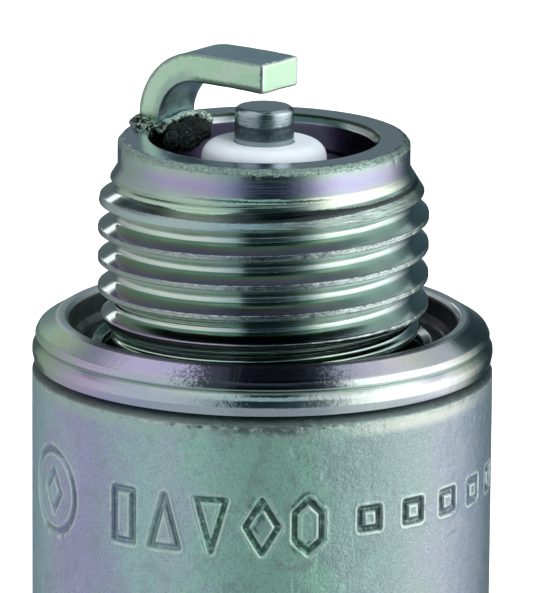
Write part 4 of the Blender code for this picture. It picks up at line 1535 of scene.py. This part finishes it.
last_dir = np.array(mids[-1]) - np.array(mids[-2])
last_dir = last_dir / np.linalg.norm(last_dir)
for index, (o, i) in enumerate(stations[:-1]):
    rings.append(ring_at(o, i, 0.0, 0.0, (0, 0)))
tip_o, tip_i = stations[-1]
for push, shrink in ((-0.11, 0.0), (-0.055, 0.010), (-0.022, 0.036), (-0.006, 0.072), (0.0, 0.115)):
    rings.append(ring_at(tip_o, tip_i, shrink, push, last_dir))
for inset in (0.22, 0.34, 0.46):
    rings.append(ring_at(tip_o, tip_i, inset, 0.0, last_dir))
strap_slw = np.array(rings).reshape(-1, 3)
strap_v = strap_to_world(strap_slw[:, 0], strap_slw[:, 1], strap_slw[:, 2])
# Uneven rolled edges, sheared sides and small dents.
centre_of = np.repeat(
    strap_to_world(
        np.array([np.mean([p[0] for p in r]) for r in rings]),
        np.zeros(len(rings)),
        np.array([np.mean([p[2] for p in r]) for r in rings]),
    ),
    k_sec,
    axis=0,
)
outward = strap_v - centre_of
outward /= np.maximum(np.linalg.norm(outward, axis=1), 1e-9)[:, None]
l_abs = np.abs(strap_slw[:, 1])
shape_noise = 0.020 * (fbm(strap_v, 1.1, 4, 51) - 0.8) + 0.010 * (fbm(strap_v, 5.0, 3, 52) - 0.6)
strap_v = strap_v + outward * shape_noise[:, None]
strap_faces = []
rows_n = len(rings)
for i in range(rows_n - 1):
    for j in range(k_sec):
        j2 = (j + 1) % k_sec
        strap_faces.append((i * k_sec + j, i * k_sec + j2, (i + 1) * k_sec + j2, (i + 1) * k_sec + j))
strap_faces.append(tuple(reversed(range(k_sec))))
strap_faces.append(tuple((rows_n - 1) * k_sec + j for j in range(k_sec)))


def solid_from(name, verts, faces, mat, sharp=None, smooth_steps=0):
    """As make_piece, with its faces turned to point outwards."""
    mesh = bpy.data.meshes.new(name)
    mesh.from_pydata((np.asarray(verts) * MM).tolist(), [], faces)
    bm = bmesh.new()
    bm.from_mesh(mesh)
    bpy.data.meshes.remove(mesh)
    bmesh.ops.remove_doubles(bm, verts=bm.verts, dist=2e-8)
    bmesh.ops.triangulate(bm, faces=[f for f in bm.faces if len(f.verts) > 4])
    bmesh.ops.recalc_face_normals(bm, faces=bm.faces)
    return finish_bmesh(bm, name, mat, sharp)


ground_strap = solid_from("ground_strap", strap_v, strap_faces, M["strap"])
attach(ground_strap, "plug")
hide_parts("ground_electrode")

# =============================================================================
# Weld metal at the strap's foot
# =============================================================================


def blob(name, lobes, mat, voxel, roughen):
    """Lumps run together into one body. Each lobe is (s, l, h, radii, seed)."""
    bm = bmesh.new()
    for s, l, h, radii, seed in lobes:
        made = bmesh.ops.create_icosphere(bm, subdivisions=4, radius=1.0)
        co = np.array([v.co for v in made["verts"]])
        lump = 1.0 + 0.16 * fbm(co, 1.6, 3, seed)
        co = co * lump[:, None] * np.array(radii) + np.array([s, l, h])
        w = strap_to_world(co[:, 0], co[:, 1], co[:, 2]) * MM
        for v, p in zip(made["verts"], w):
            v.co = p
    mesh = bpy.data.meshes.new(name)
    bm.to_mesh(mesh)
    bm.free()
    obj = bpy.data.objects.new(name, mesh)
    scene.collection.objects.link(obj)
    fuse = obj.modifiers.new("fuse", "REMESH")
    fuse.mode = "VOXEL"
    fuse.voxel_size = voxel * MM
    graph = bpy.context.evaluated_depsgraph_get()
    fused = bpy.data.meshes.new_from_object(obj.evaluated_get(graph))
    obj.modifiers.clear()
    obj.data = fused
    bpy.data.meshes.remove(mesh)
    fused.name = name
    co = np.empty(len(fused.vertices) * 3)
    fused.vertices.foreach_get("co", co)
    co = co.reshape(-1, 3) / MM
    nrm = np.array([v.normal for v in fused.vertices])
    near, second = cells(co, 4.2, 7)
    facets = (second - near) - 0.35
    grains = fbm(co, 6.0, 4, 29)
    co = co + nrm * (roughen * (0.55 * facets + 0.75 * grains))[:, None]
    fused.vertices.foreach_set("co", (co * MM).ravel())
    fused.update()
    fused.shade_smooth()
    fused.materials.clear()
    fused.materials.append(mat)
    return obj


# The bead inside the bore is near-black: oxide, and painted shade.
weld_bead = blob(
    "weld_bead",
    [
        (-4.02, 0.10, -0.44, (0.55, 1.40, 0.62), 3),
        (-4.18, -0.60, -0.24, (0.42, 0.62, 0.34), 4),
        (-4.20, 0.40, -0.18, (0.42, 0.66, 0.32), 5),
        (-3.76, -0.50, -0.62, (0.38, 0.60, 0.48), 6),
        (-3.86, 0.80, -0.44, (0.36, 0.55, 0.44), 8),
        (-4.00, -1.10, -0.50, (0.40, 0.42, 0.40), 9),
    ],
    M["weld_dark"],
    0.045 if FINE else 0.09,
    0.12,
)
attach(weld_bead, "plug")
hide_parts("weld_flash_bore")

# Bright metal pushed up between the bead and the strap, and a nugget at its end.
weld_burr = blob(
    "weld_burr",
    [
        (-4.50, -0.78, 0.08, (0.17, 0.40, 0.19), 21),
        (-4.47, -0.30, 0.16, (0.16, 0.42, 0.18), 22),
        (-4.46, 0.22, 0.22, (0.16, 0.44, 0.17), 23),
        (-4.45, 0.78, 0.22, (0.17, 0.44, 0.18), 24),
        (-4.30, 1.36, 0.08, (0.24, 0.32, 0.22), 25),
        (-4.08, 1.46, -0.10, (0.24, 0.26, 0.28), 26),
    ],
    M["weld_burr"],
    0.035 if FINE else 0.07,
    0.05,
)
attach(weld_burr, "plug")
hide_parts("weld_flash_bore")

weld_rim = blob(
    "weld_rim",
    [
        (-5.30, -1.42, 0.06, (0.60, 0.38, 0.32), 11),
        (-4.78, -1.48, 0.02, (0.42, 0.40, 0.24), 12),
        (-5.66, -1.16, 0.08, (0.26, 0.36, 0.32), 13),
        (-4.42, -1.30, -0.02, (0.30, 0.34, 0.24), 14),
    ],
    M["weld_mixed"],
    0.035 if FINE else 0.07,
    0.11,
)
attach(weld_rim, "plug")
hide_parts("weld_flash_rim")

# =============================================================================
# Terminal stud and nut
# =============================================================================

STUD_CREST, STUD_ROOT, STUD_P = 1.965, 1.62, 0.7
STUD_TOP, STUD_END = -38.05, -43.90


def stud_radius(z, th, d):
    a = np.abs(d)
    r = smin(STUD_CREST - (a - 0.06) * 1.732, np.full_like(a, STUD_CREST), 0.02)
    r = smax(r, np.full_like(a, STUD_ROOT), 0.05)
    env = np.interp(z, [STUD_END, STUD_END + 0.45, STUD_TOP - 0.35, STUD_TOP], [1.55, STUD_CREST, STUD_CREST, 1.55])
    r = smin(r, env, 0.02)
    return np.where((z >= STUD_TOP - 1e-9) | (z <= STUD_END + 1e-9), 1.55, r)


SC = 96 if FINE else 48
half = [0.0, 0.03, 0.06, 0.10, 0.15, 0.20, 0.25, 0.30, 0.34]
sv, sf = helical_grid(sorted([-h for h in half[1:]] + half), STUD_P, -44.30, STUD_END, STUD_TOP, SC, stud_radius)
upper = spaced(
    fillet(
        [
            (0.0, -20.78),
            (1.10, -20.78, 0.1),
            (1.31, -21.02, 0.1),
            (1.31, -23.36, 0.2),
            (1.86, -23.86, 0.2),
            (1.86, -36.66),
            (3.13, -36.70, 0.06),
            (3.24, -36.80, 0.06),
            (3.24, -37.46, 0.06),
            (3.13, -37.57, 0.06),
            (1.55, -37.60, 0.05),
            (1.55, STUD_TOP),
        ]
    ),
    0.35,
)
lower = spaced(fillet([(1.55, STUD_END), (1.50, -43.94, 0.04), (0.0, -43.94)]), 0.35)
uv, lv = turn(upper, SC), turn(lower, SC)
faces = list(sf)
faces += grid_faces(len(upper), SC, offset=len(sv))
faces += grid_faces(len(lower), SC, offset=len(sv) + len(uv))
stud = make_piece("terminal_stud_m4", np.vstack([sv, uv, lv]), faces, M["stud"], 40)
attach(stud, "plug")
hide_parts("terminal_stud")

NUT_TOP = -37.70
nut_outer = fillet(
    [
        (0.0, NUT_TOP - 6.80),
        (2.06, NUT_TOP - 6.58),
        (2.06, NUT_TOP - 0.18, 0.05),
        (2.22, NUT_TOP - 0.01, 0.04),
        (3.02, NUT_TOP - 0.01, 0.08),
        (3.155, NUT_TOP - 0.16, 0.08),
        (3.155, NUT_TOP - 1.90, 0.20),
        (2.95, NUT_TOP - 2.25, 0.25),
        (2.63, NUT_TOP - 2.65, 0.35),
        (2.63, NUT_TOP - 4.15, 0.40),
        (2.83, NUT_TOP - 4.65, 0.40),
        (3.155, NUT_TOP - 5.25, 0.40),
        (3.155, NUT_TOP - 6.75, 0.40),
        (3.00, NUT_TOP - 7.30, 0.30),
        (2.54, NUT_TOP - 7.985, 0.18),
        (0.0, NUT_TOP - 7.985),
    ],
    arc_step=9.0,
)
nut_profile = spaced(nut_outer, 0.12)


def cut_nut(v, rows, cols):
    """A helical groove inside the bore, and a light dent or two outside."""
    n, r = radial(v)
    th = np.arctan2(v[:, 1], v[:, 0])
    z = v[:, 2]
    bore = (np.abs(r - 2.06) < 0.01) & (z < NUT_TOP - 0.30) & (z > NUT_TOP - 6.4)
    phase = (z / 0.7 - th / TAU) % 1.0
    groove = 0.20 * smooth(0.1, 0.5, np.abs(phase - 0.5) * 2)
    out = v + n * np.where(bore, groove, 0.0)[:, None]
    outer = r > 2.55
    return out - n * (outer * 0.008 * (0.5 + 0.5 * fbm(v, 1.5, 3, 33)))[:, None]


nut = capped_turn("terminal_nut_cap", nut_profile, 160 if FINE else 80, M["nut"], cut_nut)
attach(nut, "terminal_nut")
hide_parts("terminal_nut")

# =============================================================================
# Pieces kept from the frame, with their own materials
# =============================================================================

KEPT = {
    "electrode_copper_core": "copper",
    "lower_glass_seal": "copper_glass",
    "suppressor_resistor": "carbon_glass",
    "upper_glass_seal": "stud_glass",
    "seat_packing": "packing",
    "front_wire_ring": "ring",
    "rear_wire_ring": "ring",
    "talc_packing": "talc",
}
for node, mat in KEPT.items():
    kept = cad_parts[node]
    kept.data.materials.clear()
    kept.data.materials.append(M[mat])

visual_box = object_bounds()

# =============================================================================
# Floor, lights and camera
# =============================================================================

FLOOR_Z = -0.0527  # clear of the terminal nut when it is off the stud
floor_bm = bmesh.new()
ring_r = [0.0, 0.02, 0.05, 0.1, 0.2, 0.4, 0.8, 1.6, 2.4, 2.8, 3.0, 3.1, 3.1]
ring_z = [0.0] * 9 + [0.04, 0.16, 0.45, 3.0]
prev = None
for r, z in zip(ring_r, ring_z):
    if r == 0.0:
        here = [floor_bm.verts.new((0, 0, FLOOR_Z))] * 96
    else:
        here = [floor_bm.verts.new((r * math.cos(TAU * i / 96), r * math.sin(TAU * i / 96), FLOOR_Z + z)) for i in range(96)]
    if prev is not None:
        for i in range(96):
            quad = [prev[i], here[i], here[(i + 1) % 96], prev[(i + 1) % 96]]
            floor_bm.faces.new(list(dict.fromkeys(quad)))
    prev = here
floor_mesh = bpy.data.meshes.new("floor")
floor_bm.to_mesh(floor_mesh)
floor_bm.free()
floor_mesh.shade_smooth()
floor = bpy.data.objects.new("floor", floor_mesh)
scene.collection.objects.link(floor)
sh = Shader("pale_floor")
cloud = sh.noise(sh.mm(), 0.02, 3, 0.5)
far = sh.remap(sh.turned()[1], 700.0, 2400.0)
sh.set(
    colour=sh.ramp(cloud, [(0.3, (0.90, 0.90, 0.90)), (0.7, (0.94, 0.94, 0.94))]),
    roughness=0.9,
    specular=0.0,
    emission=sh.mix(far, (1.0, 1.0, 1.0), (1.62, 1.62, 1.62)),
    emission_strength=0.62,
)
floor_mesh.materials.append(sh.mat)
floor.visible_glossy = False
floor.visible_diffuse = False
floor.visible_transmission = False
floor.visible_shadow = False

# The studio: pale walls to both sides, open and dark where the camera stands.
world = bpy.data.worlds.new("studio")
world.use_nodes = True
scene.world = world
sky = Shader("studio", world.node_tree)
background = world.node_tree.nodes["Background"]
direction = sky.new("ShaderNodeTexCoord").outputs["Generated"]
dx, dy, dz = sky.xyz(direction)
azimuth = sky.math("ARCTAN2", dx, sky.mul(dy, -1.0))
turn_ = sky.math("DIVIDE", sky.add(azimuth, math.pi), TAU)
height = sky.math("MULTIPLY", sky.math("ARCSINE", dz), 180 / math.pi)
DARK = (0.012, 0.026, 0.032)
walls = sky.ramp(
    turn_,
    [
        (0.0, (0.17, 0.21, 0.22)),
        (around(-172), (0.10, 0.13, 0.14)),
        (around(-156), (0.08, 0.10, 0.11)),
        (around(-144), 0.33),
        (around(-112), 0.45),
        (around(-80), 0.58),
        (around(-48), 0.56),
        (around(-32), (0.42, 0.46, 0.50)),
        (around(-20), (0.26, 0.32, 0.36)),
        (around(-15), (0.05, 0.07, 0.08)),
        (around(-11), DARK),
        (around(12), DARK),
        (around(26), (0.07, 0.10, 0.11)),
        (around(36), (0.28, 0.34, 0.35)),
        (around(48), 0.92),
        (around(62), 1.35),
        (around(96), 1.35),
        (around(112), 1.1),
        (around(128), 0.50),
        (around(140), (0.14, 0.18, 0.19)),
        (around(152), (0.03, 0.05, 0.055)),
        (around(168), (0.05, 0.08, 0.09)),
        (1.0, (0.17, 0.21, 0.22)),
    ],
)
# Overhead, the gap between the two walls runs on over the plug.
ceiling = sky.ramp(
    sky.math("MULTIPLY_ADD", dx, 0.5, 0.5),
    [
        (0.0, 0.60),
        (0.28, 0.62),
        (0.39, (0.56, 0.60, 0.62)),
        (0.43, (0.44, 0.48, 0.50)),
        (0.46, (0.16, 0.19, 0.21)),
        (0.56, (0.15, 0.18, 0.20)),
        (0.62, (0.36, 0.40, 0.41)),
        (0.70, 0.62),
        (1.0, 0.80),
    ],
)
behind = sky.mul(sky.remap(dy, 0.05, 0.35), sky.remap(height, 27.0, 32.0))
behind_colour = sky.mix(sky.remap(dx, 0.28, 0.42), (0.20, 0.24, 0.25), (0.46, 0.51, 0.52))
level = sky.mix(sky.mul(behind, 0.85), walls, behind_colour)
above = sky.remap(height, 40.0, 56.0)
level = sky.mix(above, level, ceiling)
gap = sky.mul(
    sky.remap(dx, -0.13, -0.075),
    sky.remap(dx, 0.30, 0.15),
    sky.remap(dy, 0.27, 0.24),
    sky.remap(dy, -0.48, -0.40),
    above,
)
front_top = sky.mul(sky.remap(dy, -0.42, -0.50), sky.remap(dy, -0.80, -0.70), sky.remap(height, 34.0, 46.0))
level = sky.mix(sky.mul(front_top, sky.remap(dx, 0.40, 0.15), 0.85), level, (0.34, 0.46, 0.50))
level = sky.mix(gap, level, (0.014, 0.022, 0.030))
# The pale table sends some light back up.
below = sky.remap(height, -22.0, -34.0)
level = sky.mix(sky.mul(below, 0.80), level, (0.34, 0.35, 0.41))
# A bright card behind to the left.
card = sky.mul(
    sky.remap(height, 14.6, 15.4),
    sky.remap(height, 20.8, 20.0),
    sky.remap(turn_, around(-175), around(-173)),
    sky.remap(turn_, around(-148), around(-150)),
)
level = sky.mix(card, level, (1.15, 1.15, 1.15))
tint = sky.mix(1.0, level, (0.98, 1.0, 1.0), "MULTIPLY")
sky.put(background.inputs["Color"], tint)
background.inputs["Strength"].default_value = 1.0

# A broad lamp overhead for the floor and the ceramic.
lamp = bpy.data.lights.new("overhead", "AREA")
lamp.shape = "DISK"
lamp.size = 0.9
lamp.energy = 9.0
lamp.color = (1.0, 1.0, 1.0)
overhead = bpy.data.objects.new("overhead", lamp)
scene.collection.objects.link(overhead)
overhead.location = (0.25, -0.25, 1.0)
overhead.rotation_euler = (Vector((0, 0, 0)) - Vector(overhead.location)).to_track_quat("-Z", "Y").to_euler()
overhead.visible_glossy = False
overhead.visible_camera = False

camera_data = bpy.data.cameras.new("camera")
camera_data.sensor_width = 36.0
camera_data.lens = 438.0
camera_data.clip_start = 0.01
camera_data.clip_end = 20.0
camera = bpy.data.objects.new("camera", camera_data)
scene.collection.objects.link(camera)
tilt = math.radians(14.1)
camera.location = Vector((0.17, -300 * math.cos(tilt), 2.7 + 300 * math.sin(tilt))) * MM
camera.rotation_euler = (
    Matrix.Rotation(math.pi / 2 - tilt, 3, "X") @ Matrix.Rotation(math.radians(0.45), 3, "Z")
).to_euler()
scene.camera = camera

scene.view_settings.view_transform = "Standard"
scene.view_settings.look = "None"
